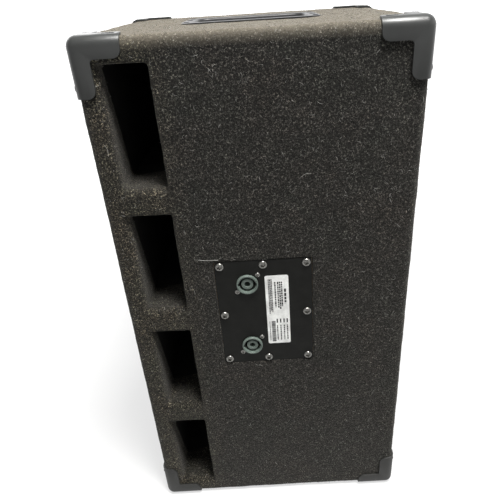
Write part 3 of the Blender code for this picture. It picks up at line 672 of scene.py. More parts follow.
def turn_in(shape, known, lines, opening, side):
    """Rolls the carpet over the edge of an opening, runs it inwards and ends it with a cut edge."""
    low, high = opening.outer()
    columns = [k for k, x in enumerate(lines[0]) if low[0] - 1e-7 <= x <= high[0] + 1e-7]
    rows = [k for k, z in enumerate(lines[2]) if low[1] - 1e-7 <= z <= high[1] + 1e-7]
    level = side * (len(lines[1]) - 1)
    around = [(a, rows[0]) for a in columns[:-1]]
    around += [(columns[-1], b) for b in rows[:-1]]
    around += [(a, rows[-1]) for a in columns[:0:-1]]
    around += [(columns[0], b) for b in rows[:0:-1]]
    ring = [known[(a, level, b)] for a, b in around]
    starts = [(lines[0][a], lines[2][b]) for a, b in around]
    ends = [opening.mouth(x, z) for x, z in starts]
    face_y = (REAR_Y, FRONT_Y)[side]
    inward = (1, -1)[side]
    reach = max(opening.rolls)
    turns = 5 if reach > 0.004 else 3
    stations = [("roll", k / turns) for k in range(1, turns + 1)]
    straight = max(2, round(opening.depth / 0.006))
    stations += [("wall", k / straight) for k in range(1, straight + 1)]
    for kind, share in stations:
        made = []
        for (x0, z0), (x1, z1) in zip(starts, ends):
            roll = min(math.hypot(x1 - x0, z1 - z0), reach)
            if kind == "roll":
                angle = share * math.pi / 2
                across, depth = math.sin(angle), roll * (1 - math.cos(angle))
            else:
                across, depth = 1.0, roll + (opening.depth_at(x1, z1) - roll) * share
            x, z = x0 + (x1 - x0) * across, z0 + (z1 - z0) * across
            made.append(shape.verts.new((x, face_y + inward * depth, z)))
        join_rings(shape, ring, made)
        ring = made
    edge = []
    for vert, spot in zip(ring, ends):
        x, z = [a + cut_edge(a, low, high) for a, low, high in zip(spot, opening.low, opening.high)]
        edge.append(shape.verts.new((x, vert.co.y, z)))
    join_rings(shape, ring, edge)


def cut_edge(value, low, high):
    """How far the cut edge of the carpet steps out at a wall, and 0 away from both walls."""
    if min(abs(value - low), abs(value - high)) >= 0.001:
        return 0.0
    return math.copysign(CARPET_THICK * 0.8, value - (low + high) / 2)


def ripple(shape):
    """The slight unevenness of felt glued over boards."""
    for vert in shape.verts:
        spot = vert.co
        soft = noise.noise(spot * 38.0) * 0.00035 + noise.noise(spot * 120.0) * 0.00030
        soft += noise.noise(spot * 9.0) * 0.00035
        vert.co = spot + vert.normal * (soft - 0.0002)


# ---- fuzz, lint and hairs


def scattered(source, count):
    """Random points on a mesh, spread by area, with the surface's normals."""
    mesh = source.data
    mesh.calc_loop_triangles()
    corners = np.empty(len(mesh.loop_triangles) * 3, np.int32)
    mesh.loop_triangles.foreach_get("vertices", corners)
    spots = np.empty(len(mesh.vertices) * 3, np.float32)
    mesh.vertices.foreach_get("co", spots)
    spots = spots.reshape(-1, 3).astype(float)
    a, b, c = (spots[corners.reshape(-1, 3)[:, k]] for k in range(3))
    cross = np.cross(b - a, c - a)
    size = np.linalg.norm(cross, axis=1)
    pick = RNG.choice(len(size), count, p=size / size.sum())
    u, v = RNG.random(count), RNG.random(count)
    over = u + v > 1
    u[over], v[over] = 1 - u[over], 1 - v[over]
    points = a[pick] + u[:, None] * (b - a)[pick] + v[:, None] * (c - a)[pick]
    return points, cross[pick] / size[pick][:, None]


def fibres(name, source, count, lengths, width, lift, bend, stations, finish):
    """Thin curved ribbons that start on a surface and lift from it, all in one mesh."""
    roots, normals = scattered(source, count)
    across = RNG.normal(size=(count, 3))
    across -= normals * (across * normals).sum(1)[:, None]
    across /= np.linalg.norm(across, axis=1)[:, None]
    along = np.cross(normals, across)
    length = RNG.uniform(*lengths, count)[:, None]
    turn = RNG.normal(0, bend, count)[:, None]
    rise = RNG.uniform(0.35, 1.0, count)[:, None] * lift
    verts = np.empty((count, stations, 2, 3))
    for k in range(stations):
        share = k / (stations - 1)
        angle = turn * share
        forward = length * share
        height = rise * math.sin(math.pi * (0.15 + 0.80 * share)) - 0.0001
        middle = roots + along * forward * np.cos(angle) + across * forward * np.sin(angle)
        middle = middle + normals * height
        half = across * width * (0.5 if share < 0.99 else 0.12)
        verts[:, k, 0] = middle - half
        verts[:, k, 1] = middle + half
    first = np.arange(count)[:, None] * stations * 2 + np.arange(stations - 1)[None, :] * 2
    faces = np.stack([first, first + 1, first + 3, first + 2], axis=-1).reshape(-1, 4)
    mesh = bpy.data.meshes.new(name)
    mesh.from_pydata(verts.reshape(-1, 3).tolist(), [], faces.tolist())
    return finished(name, mesh, finish, "carpet", sharp=None)


def stray_hair(name, points, radius=0.00016):
    """A single long hair caught on the felt."""
    data = bpy.data.curves.new(name, "CURVE")
    data.dimensions = "3D"
    data.bevel_depth = radius
    data.bevel_resolution = 1
    data.use_fill_caps = True
    spline = data.splines.new("NURBS")
    spline.points.add(len(points) - 1)
    for target, (x, z, off) in zip(spline.points, points):
        target.co = (x, REAR_Y - off, z, 1.0)
    spline.use_endpoint_u = True
    spline.order_u = 3
    data.materials.append(FINISHES["lint"])
    made = linked(name, data)
    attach(made, CABINET)


def carpet_details(cover):
    fibres("carpet_fuzz", cover, 46000, (0.0020, 0.0052), 0.00027, 0.0010, 0.9, 3, "fuzz")
    fibres("carpet_lint", cover, 4200, (0.0012, 0.0066), 0.00026, 0.0012, 1.3, 5, "lint")
    # Points of (x, z, distance off the carpet)
    hairs = {
        "hair_by_plate": [
            (-0.078, 0.4100, 0.0008), (-0.070, 0.4088, 0.0016), (-0.060, 0.4080, 0.0012),
            (-0.051, 0.4078, 0.0008),
        ],
        "hair_by_slot": [
            (-0.1500, 0.5360, 0.0010), (-0.1490, 0.5420, 0.0018), (-0.1500, 0.5450, 0.0012),
            (-0.1520, 0.5480, 0.0008),
        ],
        "hair_on_right": [
            (0.0450, 0.5000, 0.0008), (0.0480, 0.5040, 0.0018), (0.0540, 0.5060, 0.0014),
            (0.0570, 0.5050, 0.0008),
        ],
    }
    for name, points in hairs.items():
        stray_hair(name, points)


# ---- corner protectors


def guard_outline(long_arm, short_arm):
    """The L that a protector shows on one face, from the cabinet's corner at (0, 0)."""
    arm, end, fillet = GUARD_ARM + GUARD_PROUD, GUARD_END_ROUND, GUARD_INNER_ROUND
    points = [(-0.02, -0.02), (long_arm, -0.02)]
    points += arc((long_arm - end, arm - end), end, 0, 90, 8)
    points += arc((arm + fillet, arm + fillet), fillet, 270, 180, 5)
    points += arc((arm - end, short_arm - end), end, 0, 90, 8)
    points.append((-0.02, short_arm))
    return points


def guard_mesh():
    """One protector at a corner at (0, 0, 0) with its arms towards -X, -Y and -Z."""
    reach, far = 0.10, 0.2
    made = box_helper("guard_shell", (-reach,) * 3, (0, 0, 0), CARPET_ROUND + GUARD_PROUD, 10)
    low, high = (-GUARD_THICK - reach,) * 3, (-GUARD_THICK,) * 3
    inside = box_helper("guard_inside", low, high, CARPET_ROUND + 0.0003, 8)
    wells = bmesh.new()
    put_turned(wells, SCREW_WELL, (*GUARD_SCREWS[0][:2], 0), segments=24)
    put_turned(wells, SCREW_WELL, (0, *GUARD_SCREWS[1][1:]), (1, 0, 0), 24)
    recess = box_helper("recess", (-0.0470, -0.0150, -0.0007), (-0.0350, -0.0065, 0.004), 0.0006)
    cut(made, inside, helper("screw_well", wells), recess)
    arms = (GUARD_SHORT, GUARD_LONG), (GUARD_SHORT, GUARD_LONG), (GUARD_SHORT, GUARD_SHORT)
    trims = []
    for axis, lengths in enumerate(arms):
        trim = bmesh.new()
        put_prism(trim, [(-u, -v) for u, v in guard_outline(*lengths)], axis, -far, 0.02)
        trims.append(helper(f"guard_trim_{axis}", trim))
    cut(made, *trims, operation="INTERSECT")
    soften = made.modifiers.new("soft_rim", "BEVEL")
    soften.width = 0.00055
    soften.segments = 2
    soften.limit_method = "ANGLE"
    soften.angle_limit = math.radians(55)
    soften.use_clamp_overlap = True
    settle(made)
    return taken(made)


def corner_protectors(screw):
    master = guard_mesh()
    sides = ((-1, "port"), (1, "plain")), ((-1, "rear"), (1, "front")), ((-1, "lower"), (1, "upper"))
    for (x, x_name), (y, y_name), (z, z_name) in product(*sides):
        where = f"{z_name}_{y_name}_{x_name}"
        node = f"corner_protector_{where}"
        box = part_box(node)
        corner = Vector([box[sign > 0][k] for k, sign in enumerate((x, y, z))])
        shape = bmesh.new()
        shape.from_mesh(master)
        shape.transform(Matrix.Translation(corner) @ Matrix.Diagonal((x, y, z, 1.0)))
        if x * y * z < 0:
            bmesh.ops.reverse_faces(shape, faces=shape.faces)
        # The lower protectors take the darker copy of the plastic: painted shade near the floor.
        look = "guard" if z > 0 else "grimy_guard"
        piece(f"guard_{where}", shape, look, "corner_plastic", replaces=(node,))
        for k, (spot, way) in enumerate(zip(GUARD_SCREWS, ((0, 0, z), (x, 0, 0)))):
            place = facing(way, corner + Vector((spot[0] * x, spot[1] * y, spot[2] * z)))
            finished(f"guard_screw_{k}_{where}", screw, None, "screws", place=place)


# ---- screws


def screw_mesh(name, radius, height, finish, recess=0.55, flat=False, hexagonal=False):
    """A head with a cross or hexagonal recess that sits on z = 0, with a short shank below it."""
    shape = bmesh.new()
    shank = radius * 0.45
    profile = [(0, -0.0010), (shank, -0.0010), (shank, 0), (radius * 0.97, 0), (radius, height * 0.12)]
    if flat:
        profile += [(radius, height * 0.8), (radius * 0.96, height), (0, height)]
    else:
        turns = (0.25, 0.5, 0.75, 1.0, 1.25)
        profile += [(radius * math.cos(t), height * (0.12 + 0.88 * math.sin(t))) for t in turns]
        profile.append((0, height))
    put_turned(shape, profile, segments=28)
    made = helper(name, shape)
    arm, half = radius * recess, radius * 0.20
    centre = bmesh.new()
    if hexagonal:
        bottom, top = height * 0.2, height * 2
        put_turned(centre, [(0, bottom), (arm, bottom), (arm, top), (0, top)], segments=6)
        cutters = [helper("socket", centre)]
    else:
        bottom, top = height * 0.10, height * 2
        cutters = [
            box_helper("cross_1", (-arm, -half, bottom), (arm, half, top)),
            box_helper("cross_2", (-half, -arm, bottom), (half, arm, top)),
        ]
        narrow, wide, deep, over = half * 1.2, half * 2.1, height * 0.05, height * 1.2
        put_turned(centre, [(0, deep), (narrow, deep), (wide, over), (0, over)], segments=12)
        cutters.append(helper("cross_3", centre))
    cut(made, *cutters)
    mesh = taken(made)
    mesh.materials.clear()
    mesh.materials.append(FINISHES[finish])
    mesh.name = name
    return mesh


def put_screws(name, mesh, places, slot="screws", replaces=(), seed=3):
    """Screws at (point, direction), each turned by its own amount, as a hand leaves them."""
    turns = np.random.default_rng(seed).uniform(0, math.pi / 2, len(places))
    for k, ((spot, way), turn) in enumerate(zip(places, turns)):
        place = facing(way, Vector(spot)) @ Matrix.Rotation(turn, 4, "Z")
        nodes = (replaces[k],) if replaces else ()
        finished(f"{name}_{k + 1}", mesh, None, slot, place=place, replaces=nodes)


# ---- connector plate


def plate_screws(mesh):
    nodes = [f"connector_plate_screw_{k}" for k in range(1, 9)]
    middles = [middle_of(node) for node in nodes]
    places = [((x, PLATE_LOW.y, z), (0, -1, 0)) for x, _, z in middles]
    put_screws("plate_screw", mesh, places, replaces=nodes)


def socket(place, small_screw):
    """A twist-lock socket: a stepped rim, a ring-shaped well with two keyways, and a hollow boss."""
    node = f"socket_{place}"
    x, _, z = middle_of(node)
    centre, out = Vector((x, PLATE_LOW.y, z)), (0, -1, 0)
    front = PLATE_LOW.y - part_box(node)[0].y
    rim, well, floor = 0.0129, 0.0098, -0.0150
    body = [
        (0.0, -0.0215), (0.0114, -0.0215), (0.0114, 0.0003), (rim - 0.0002, 0.0003), (rim, 0.0006),
        (rim, front - 0.0012), *arc((rim - 0.0010, front - 0.0011), 0.0010, 10, 90, 4),
        (rim - 0.0017, front - 0.0001), (rim - 0.0019, front - 0.0006), (well + 0.0011, front - 0.0006),
        (well + 0.0002, front - 0.0012), (well, front - 0.0022), (well, floor), (0.0, floor),
    ]
    shape = bmesh.new()
    put_turned(shape, body, centre, out, 72)
    made = helper(node + "_shell", shape)
    keys = bmesh.new()
    for side in (-1, 1):
        spot = centre + Vector((side * 0.0098, 0, 0))
        put_box(keys, spot - Vector((0.0013, 0.012, 0.0021)), spot + Vector((0.0013, 0.010, 0.0021)), 0.0005)
    cut(made, helper("keyways", keys))
    finished(f"{node}_shell", taken(made), "socket", "socket_plastic", replaces=(node,))
    boss = [
        (0.0, floor + 0.001), (0.0072, floor + 0.001), (0.0072, 0.0006),
        *arc((0.0064, 0.0006), 0.0008, 0, 90, 3), (0.0042, 0.0014),
        *arc((0.0042, 0.0006), 0.0008, 90, 180, 3), (0.0034, floor + 0.004), (0.0, floor + 0.004),
    ]
    turned(f"{node}_boss", boss, "socket", "socket_plastic", centre, out, 56)
    # Painted shade: a black sleeve lines the deep well so that it reads dark.
    well_shade = [
        (0.0073, floor + 0.0012), (0.0097, floor + 0.0012), (0.0097, -0.0014), (0.0092, -0.0014),
        (0.0092, floor + 0.0030), (0.0073, floor + 0.0030),
    ]
    turned(f"{node}_liner", well_shade, "socket_dark", "socket_plastic", centre, out, 56, closed=True)
    contacts, half = bmesh.new(), Vector((0.0007, 0.0035, 0.0007))
    for spot in around(centre, 4, 0.0085, 0.0090):
        put_box(contacts, spot - half, spot + half, 0.0002)
    piece(f"{node}_contacts", contacts, "contact", "screws")
    places = [(centre + Vector(spot), out) for spot in ((0.0127, 0.0, 0.0114), (-0.0127, 0.0, -0.0107))]
    put_screws(f"{node}_screw", small_screw, places, seed=len(place))


def rating_label():
    """A blank rating label: plain bars stand for lines of print, with no letters or marks."""
    low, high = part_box("rating_label")
    middle = (low + high) / 2
    width, height = high.x - low.x, high.z - low.z
    outline = [(u + middle.x, v + middle.z) for u, v in rounded_rectangle(width, height, 0.0022)]
    shape = bmesh.new()
    put_prism(shape, outline, 1, low.y, high.y)
    bmesh.ops.recalc_face_normals(shape, faces=shape.faces)
    piece("blank_label", shape, "label", "label", replaces=("rating_label",))
    bars = bmesh.new()
    front = low.y - 0.00006

    def bar(x, z_low, z_high, wide):
        put_box(bars, (x - wide / 2, front, z_low), (x + wide / 2, low.y + 0.00004, z_high))

    random = np.random.default_rng(5)

    def line(x, z_low, z_high, wide, dash):
        """A row of dashes of uneven length, which reads as a line of small print."""
        z = z_high
        while z > z_low:
            step = float(random.uniform(0.5, 1.6)) * dash
            bar(x, max(z - step, z_low), z, wide)
            z -= step + dash * 0.35

    left, top = low.x, high.z
    # Each row: its share of the width, its start and end as shares of the height, its width, its dash
    rows = [(0.84, 0.19, 0.40, 0.0023, 0.0034)]
    small_print = ((0.70, 0.44), (0.62, 0.48), (0.54, 0.46), (0.42, 0.45))
    rows += [(x, 0.09, end, 0.0017, 0.0024) for x, end in small_print]
    rows += [(x, 0.05, end, 0.0013, 0.0018) for x, end in ((0.27, 0.52), (0.21, 0.50), (0.15, 0.54))]
    for x, start, end, wide, dash in rows:
        line(left + width * x, top - height * end, top - height * start, wide, dash)
    for x in (0.44, 0.59, 0.74, 0.88):
        bar(left + width * x, top - height * 0.685, top - height * 0.625, 0.0016)
        line(left + width * x, top - height * 0.95, top - height * 0.72, 0.0014, 0.0020)
    z = top - height * 0.66
    while z > low.z + height * 0.03:
        step = float(random.uniform(0.0005, 0.0016))
        put_box(bars, (left + width * 0.19, front, z - step), (left + width * 0.36, low.y + 0.00004, z))
        z -= step + float(random.uniform(0.0004, 0.0010))
    line(left + width * 0.11, low.z + height * 0.05, top - height * 0.66, 0.0008, 0.0014)
    piece("label_bars", bars, "ink", "label", sharp=None)


# ---- drivers


def cone_height(radius):
    """Where the front of the cone is at a radius: a curved flare, steeper at the neck."""
    neck, edge = (0.0262, -0.0400), (CONE_RADIUS, 0.0055)
    share = (radius - neck[0]) / (edge[0] - neck[0])
    return neck[1] + (edge[1] - neck[1]) * (share + 0.10 * share * (1 - share))


def flex(made):
    """Bakes a ring's placement into its mesh; the ring keeps its turned shape and doesn't bend."""
    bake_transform(made)


def driver(place, screw):
    x, _, z = middle_of(f"magnet_{place}")
    axis = Vector((x, BAFFLE_Y, z))
    ahead = (0, 1, 0)
    moving = f"cone_assembly_{place}"
    basket_shape(place, axis)

    def ring(name, profile, finish, slot, segments, node, body=None):
        return turned(
            f"{name}_{place}", profile, finish, slot, axis, ahead, segments, True,
            body=body, replaces=(f"{node}_{place}",),
        )

    thick = 0.0009
    radii = [0.0262 + (CONE_RADIUS - 0.0262) * k / 28 for k in range(29)]
    ribs = [0.0007 * max(0.0, math.cos(math.tau * (radius - 0.0405) / 0.0185)) ** 6 for radius in radii]
    cone = [(radius, cone_height(radius) + rib) for radius, rib in zip(radii, ribs)]
    cone += [(radius, cone_height(radius) - thick) for radius in reversed(radii)]
    ring("cone_surface", cone, "cone", "cone_paper", 128, "cone", moving)
    rim, rise = 0.0300, 0.0110
    seat = cone_height(rim) + 0.0006
    cap = [(rim + 0.0022, cone_height(rim + 0.0022) + 0.0004), (rim, seat)]
    cap += [(rim * math.cos(t), seat + rise * math.sin(t)) for t in (0.15, 0.35, 0.6, 0.85, 1.1, 1.35)]
    cap += [(0.0, seat + rise)]
    inner_cap = [(max(radius - 0.0008, 0.0), height - 0.0008) for radius, height in cap]
    ring("dust_dome", cap + inner_cap[::-1], "cone", "cone_paper", 96, "dust_cap", moving)

    level, sheet = FLANGE_FRONT + 0.0003, 0.0010
    middle, radius = (SURROUND_IN + SURROUND_OUT) / 2, (SURROUND_OUT - SURROUND_IN) / 2
    roll = [(0.0905, level), (0.094, level), (SURROUND_IN, level)]
    roll += arc((middle, level), radius - sheet / 2, 180, 0, 14)
    roll += [(SURROUND_OUT, level), (0.1180, level), (0.1180, level + sheet)]
    roll += arc((middle, level + sheet), radius + sheet / 2, 0, 180, 14)
    roll += [(0.094, level + sheet), (0.0905, level + sheet)]
    made = ring("surround_roll", roll, "surround", "surround_rubber", 128, "surround")
    flex(made)

    inner, outer, waves, base = 0.0264, 0.0635, 4, -0.0586
    radii = [inner + (outer - inner) * k / 48 for k in range(49)]
    ridge = [(r, base + 0.0013 * math.sin(math.tau * waves * (r - inner) / (outer - inner))) for r in radii]
    disc = ridge + [(r, height - 0.0007) for r, height in reversed(ridge)]
    made = ring("spider_disc", disc, "spider", "spider_cloth", 72, "spider")
    flex(made)

    places = [(spot, ahead) for spot in around(axis, 8, 0.1235, FLANGE_FRONT)]
    put_screws(f"driver_{place}_screw", screw, places, seed=7)


def basket_shape(place, axis):
    """The pressed basket, with a rolled flange and six windows, and the motor's front plate."""
    profile = [
        (FRAME_RADIUS - 0.0004, 0.0003), (FRAME_RADIUS, 0.0008), (FRAME_RADIUS, FLANGE_FRONT - 0.0010),
        (FRAME_RADIUS - 0.0010, FLANGE_FRONT), (0.1190, FLANGE_FRONT), (0.1185, FLANGE_FRONT - 0.0003),
        (0.1104, FLANGE_FRONT - 0.0003), (0.1100, FLANGE_FRONT - 0.0010), (0.1080, -0.0080),
        (0.0650, -0.0598), (0.0585, -0.0598), (0.0560, FRONT_PLATE + 0.0030),
        (0.0270, FRONT_PLATE + 0.0030), (0.0270, FRONT_PLATE - 0.0082), (0.0620, FRONT_PLATE - 0.0082),
        (0.0640, -0.0680), (0.0690, -0.0640), (0.1108, -0.0100), (0.1120, 0.0003),
    ]
    shape = bmesh.new()
    put_turned(shape, profile, axis, (0, 1, 0), 96, closed=True)
    made = helper("basket_shell", shape)
    windows = []
    for k in range(6):
        window = bmesh.new()
        put_box(window, (0.070, -0.052, -0.021), (0.125, -0.016, 0.021), 0.006, 3)
        window.transform(Matrix.Translation(axis) @ Matrix.Rotation(math.radians(60 * k + 30), 4, "Y"))
        windows.append(helper(f"window_{k}", window))
    cut(made, *windows)
    finished(f"basket_frame_{place}", taken(made), "basket", "basket_steel", replaces=(f"basket_{place}",))


# ---- grille


def grille_sheet():
    """A perforated sheet: staggered round holes in hexagonal cells, with a plain margin and folded edges."""
    low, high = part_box("grille")
    thick = 0.0015
    pitch, hole = 0.0100, 0.0036
    row = pitch * math.sqrt(3) / 2
    margin = 0.007
    shape = bmesh.new()
    y = high.y
    columns = int((high.x - low.x - 2 * margin) / pitch - 0.5)
    rows = int((high.z - low.z - 2 * margin) / row)
    start_x = (low.x + high.x) / 2 - (columns - 0.5) * pitch / 2
    start_z = (low.z + high.z) / 2 - (rows - 1) * row / 2
    known = {}

    def shared(x, z):
        key = (round(x * 2e5), round(z * 2e5))
        if key not in known:
            known[key] = shape.verts.new((x, y, z))
        return known[key]

    for b in range(rows):
        for a in range(columns):
            x = start_x + a * pitch + (b % 2) * pitch / 2
            z = start_z + b * row
            outside, inside = [], []
            for k in range(12):
                angle = math.radians(30 * k)
                reach = pitch / 2 if k % 2 == 0 else pitch / math.sqrt(3)
                outside.append(shared(x + reach * math.cos(angle), z + reach * math.sin(angle)))
                inside.append(shape.verts.new((x + hole * math.cos(angle), y, z + hole * math.sin(angle))))
            join_rings(shape, outside, inside)
    border(shape, low, high, y)
    bmesh.ops.recalc_face_normals(shape, faces=shape.faces)
    made = piece("grille_sheet", shape, "grille", "grille_steel", sharp=50.0, replaces=("grille",))
    front = sum((face.normal.y for face in made.data.polygons[:50]))
    if front < 0:
        made.data.flip_normals()
    solid = made.modifiers.new("sheet_metal", "SOLIDIFY")
    solid.thickness = thick
    solid.offset = -1.0
    return made


def border(shape, low, high, y):
    """Fills the margin round the holes out to the folded edge, then folds it back."""
    inset, corner = 0.0010, 0.003

    def ring(out, back):
        sides = low.x + inset - out, high.x - inset + out, low.z + inset - out, high.z - inset + out
        return [shape.verts.new((x, y - back, z)) for x, z in rounded_loop(*sides, corner + out)]

    folded = ring(0.0, 0.0)
    rim = [shape.edges.new((vert, folded[(k + 1) % len(folded)])) for k, vert in enumerate(folded)]
    boundary = [edge for edge in shape.edges if edge.is_boundary and not is_hole_edge(edge)]
    bmesh.ops.triangle_fill(shape, use_beauty=True, edges=[*rim, *boundary])
    for out, back in ((0.0006, 0.0002), (0.0010, 0.0008), (0.0010, 0.0095)):
        made = ring(out, back)
        join_rings(shape, folded, made)
        folded = made


def is_hole_edge(edge):
    """True on the edge of a round hole, whose vertices no other cell shares."""
    return all(len(vert.link_faces) == 2 and len(vert.link_edges) == 3 for vert in edge.verts)


def rounded_loop(low_x, high_x, low_z, high_z, radius):
    middle_x, middle_z = (low_x + high_x) / 2, (low_z + high_z) / 2
    outline = rounded_rectangle(high_x - low_x, high_z - low_z, radius, 4)
    return [(u + middle_x, v + middle_z) for u, v in outline]


def grille_screws(screw):
    low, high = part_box("grille")
    lap = 0.011
    places = []
    for x in (low.x + lap, high.x - lap):
        for z in (low.z + lap, (low.z + high.z) / 2, high.z - lap):
            places.append(((x, high.y, z), (0, 1, 0)))
    put_screws("grille_screw", screw, places, seed=9)


# ---- handles and feet


def handle(place, side, screw):
    """A moulded cup with a rolled lip and a grip bar whose ends flare into the walls."""
    node = f"handle_cup_{place}"
    low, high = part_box(node)
    width, length = high.x - low.x, high.y - low.y
    centre = (low + high) / 2
    face = high.z if side > 0 else low.z
    deep = (high.z - low.z) - 0.0002
    wall_in = 0.0125
    stages = [
        (0.0000, -0.0012, 0.020), (0.0002, -0.0005, 0.020), (0.0009, -0.0001, 0.020),
        (0.0018, 0.0, 0.019), (0.0095, 0.0, 0.015), (0.0112, -0.0004, 0.0145), (0.0121, -0.0013, 0.014),
        (wall_in, -0.0030, 0.0138), (wall_in + 0.0012, -0.0200, 0.0135),
        (wall_in + 0.0022, -deep + 0.0080, 0.0130), (wall_in + 0.0036, -deep + 0.0045, 0.0120),
        (wall_in + 0.0064, -deep + 0.0027, 0.0100), (wall_in + 0.0110, -deep + 0.0025, 0.0070),
    ]
    shape = bmesh.new()
    rings = []
    for inset, depth, radius in stages:
        outline = rounded_rectangle(width - 2 * inset, length - 2 * inset, radius, 8)
        level = face + side * depth
        rings.append([shape.verts.new((u + centre.x, v + centre.y, level)) for u, v in outline])
    for below, above in zip(rings, rings[1:]):
        join_rings(shape, below, above)
    shape.faces.new(rings[-1])
    bmesh.ops.recalc_face_normals(shape, faces=shape.faces)
    middle = max(shape.faces, key=lambda item: len(item.verts))
    if middle.normal.z * side < 0:
        bmesh.ops.reverse_faces(shape, faces=shape.faces)
    made = piece(f"handle_shell_{place}", shape, "handle", "handle_plastic", replaces=(node,))
    solid = made.modifiers.new("wall", "SOLIDIFY")
    solid.thickness = 0.0011
    solid.offset = -1.0
    half = width / 2 - wall_in
    bar_level = face - side * 0.0141
    shares = [k / 20 for k in range(-20, 21)]
    grip = [(0.0102 + 0.0030 * abs(share) ** 9, share * half) for share in shares]
    profile = [(0.0, -half), *grip, (0.0, half)]
    turned(
        f"handle_bar_{place}", profile, "handle", "handle_plastic",
        Vector((centre.x, centre.y, bar_level)), (1, 0, 0), 40,
    )
    across, along, level = width / 2 - 0.0062, length / 2 - 0.017, face - side * 0.0006
    spots = [(centre.x + x * across, centre.y + y * along, level) for x in (-1, 1) for y in (-1, 0, 1)]
    places = [(spot, (0, 0, side)) for spot in spots]
    put_screws(f"handle_{place}_screw", screw, places, seed=15)


def feet(screw):
    for y_name, z_name in product(("rear", "front"), ("lower", "upper")):
        node = f"rubber_foot_{z_name}_{y_name}"
        low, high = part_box(node)
        _, y, z = middle_of(node)
        centre, out = Vector((high.x, y, z)), (-1, 0, 0)
        tall, radius = high.x - low.x, (high.z - low.z) / 2
        profile = [
            (0.0026, 0.0), (radius - 0.0004, 0.0), (radius, 0.0005), (radius - 0.0006, tall - 0.0022),
            *arc((radius - 0.0032, tall - 0.0022), 0.0022, 0, 90, 5), (0.0072, tall),
            (0.0064, tall - 0.0007), (0.0062, 0.0030), (0.0026, 0.0030),
        ]
        name = f"foot_{z_name}_{y_name}"
        turned(name, profile, "foot", "foot_rubber", centre, out, 48, closed=True, replaces=(node,))
        put_screws(f"foot_screw_{z_name}_{y_name}", screw, [(centre - Vector((0.0030, 0, 0)), out)])


# ---- CAD nodes that stay


def dress_cad_nodes():
    """Finishes for the CAD nodes that keep their own shape."""
    kept = {
        "boards": [
            "end_panel_upper", "end_panel_lower", "port_side_panel", "plain_side_panel", "rear_panel",
            "front_baffle", "port_shelf", "port_divider_1", "port_divider_2", "port_divider_3", "cross_brace",
        ],
        "plate": ["connector_plate"],
        "battens": ["grille_frame"],
        "wadding": ["wadding"],
        "leads": ["lead_between_sockets", "lead_upper", "lead_lower"],
    }
    for place in ("upper", "lower"):
        kept.setdefault("ferrite", []).append(f"magnet_{place}")
        kept.setdefault("motor", []).append(f"back_plate_{place}")
        kept.setdefault("coil", []).append(f"voice_coil_{place}")
    for finish, nodes in kept.items():
        for name in nodes:
            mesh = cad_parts[name].data
            mesh.materials.clear()
            mesh.materials.append(FINISHES[finish])


# ---- floor, lights and camera


def staged(name, shape, finish):
    """A part of the studio, which isn't part of the object."""
    mesh = meshed(name, shape)
    mesh.materials.append(finish.made)
    made = linked(name, mesh)


def floor():
    """A pale floor that glows away from a strip behind the viewpoint, and a white backdrop."""
    shape = bmesh.new()
    bmesh.ops.create_grid(shape, x_segments=1, y_segments=1, size=60.0)
    pale = Finish("floor_pale", 0.9, specular=0.0)
    pale.colour(pale.ramp(pale.noise(3.0, 2.0, 0.5), [(0.3, (0.25,) * 3), (0.7, (0.27,) * 3)]))
    off_strip = pale.maths("ABSOLUTE", pale.maths("SUBTRACT", pale.along("Y"), DARK_STRIP_Y))
    near = pale.maths("MULTIPLY", pale.share(off_strip, 0.45, 0.75), 0.62)
    far = pale.maths("MULTIPLY", pale.share(pale.along("Y"), 0.30, 1.60), 0.35)
    glow = {"Emission Color": WHITE, "Emission Strength": pale.maths("ADD", near, far)}
    pale.fill(pale.shader, glow)
    staged("floor", shape, pale)
    shape = bmesh.new()
    put_box(shape, (-40.0, 9.0, 0.0), (40.0, 9.1, 12.0))
    white = Finish("backdrop_white", 0.9, specular=0.0)
    white.fill(white.shader, {"Emission Color": WHITE, "Emission Strength": 1.0})
    staged("backdrop", shape, white)


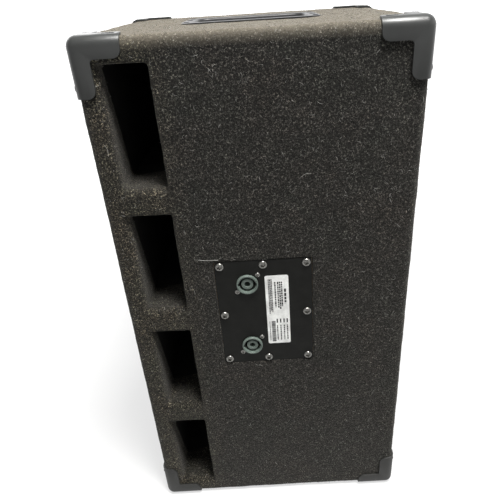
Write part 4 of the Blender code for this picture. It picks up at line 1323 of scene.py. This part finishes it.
def area_light(name, place, target, size, power, colour=(1.0, 1.0, 1.0)):
    data = bpy.data.lights.new(name, "AREA")
    data.shape = "RECTANGLE"
    data.size, data.size_y = size
    data.energy = power
    data.color = colour
    made = linked(name, data)
    made.matrix_world = facing(Vector(place) - Vector(target), Vector(place))


def lights():
    area_light("key_above", (0.36, -0.64, 2.45), (0.0, -0.1, 0.45), (0.50, 0.50), 95.0, (1.0, 0.99, 0.97))
    area_light("fill_front", (-1.3, 1.9, 1.6), (0.0, 0.0, 0.3), (1.6, 1.6), 22.0)
    area_light("fill_right", (2.1, -0.6, 1.3), (0.0, 0.0, 0.3), (1.2, 1.6), 6.0)
    world = bpy.data.worlds.new("studio")
    world.use_nodes = True
    background = world.node_tree.nodes["Background"].inputs
    background["Color"].default_value = WHITE
    background["Strength"].default_value = 0.42
    bpy.context.scene.world = world
    bpy.context.scene.view_settings.view_transform = "Standard"


def camera():
    """The photograph's viewpoint: from behind and a little above, close to the top edge."""
    ahead = Vector((-0.0071, 0.8794, -0.4759)).normalized()
    right = Vector((0.9983, -0.0215, -0.0546))
    right = (right - ahead * right.dot(ahead)).normalized()
    up = right.cross(ahead)
    data = bpy.data.cameras.new("camera")
    data.sensor_width = 36.0
    data.lens = 34.97
    data.shift_x = -0.034
    data.shift_y = 0.0076
    data.clip_start = 0.01
    made = linked("camera", data)
    turn = Matrix((right, up, -ahead)).transposed().to_4x4()
    made.matrix_world = Matrix.Translation((0.0095, -0.6524, 0.6762)) @ turn
    bpy.context.scene.camera = made


# ---- whole object


def build():
    camera()
    floor()
    lights()
    dress_cad_nodes()
    pan = screw_mesh("pan_screw", 0.0051, 0.0028, "screw")
    small = screw_mesh("small_screw", 0.0030, 0.0012, "screw")
    black = screw_mesh("black_screw", 0.0035, 0.0011, "dark_screw", flat=True)
    cap = screw_mesh("cap_screw", 0.0043, 0.0030, "dark_screw", flat=True, hexagonal=True)
    cover = carpet_cover()
    carpet_details(cover)
    corner_protectors(black)
    plate_screws(pan)
    for place in ("upper", "lower"):
        socket(place, small)
        driver(place, cap)
    rating_label()
    grille_sheet()
    grille_screws(black)
    handle("upper", 1, black)
    handle("lower", -1, black)
    feet(pan)


build()
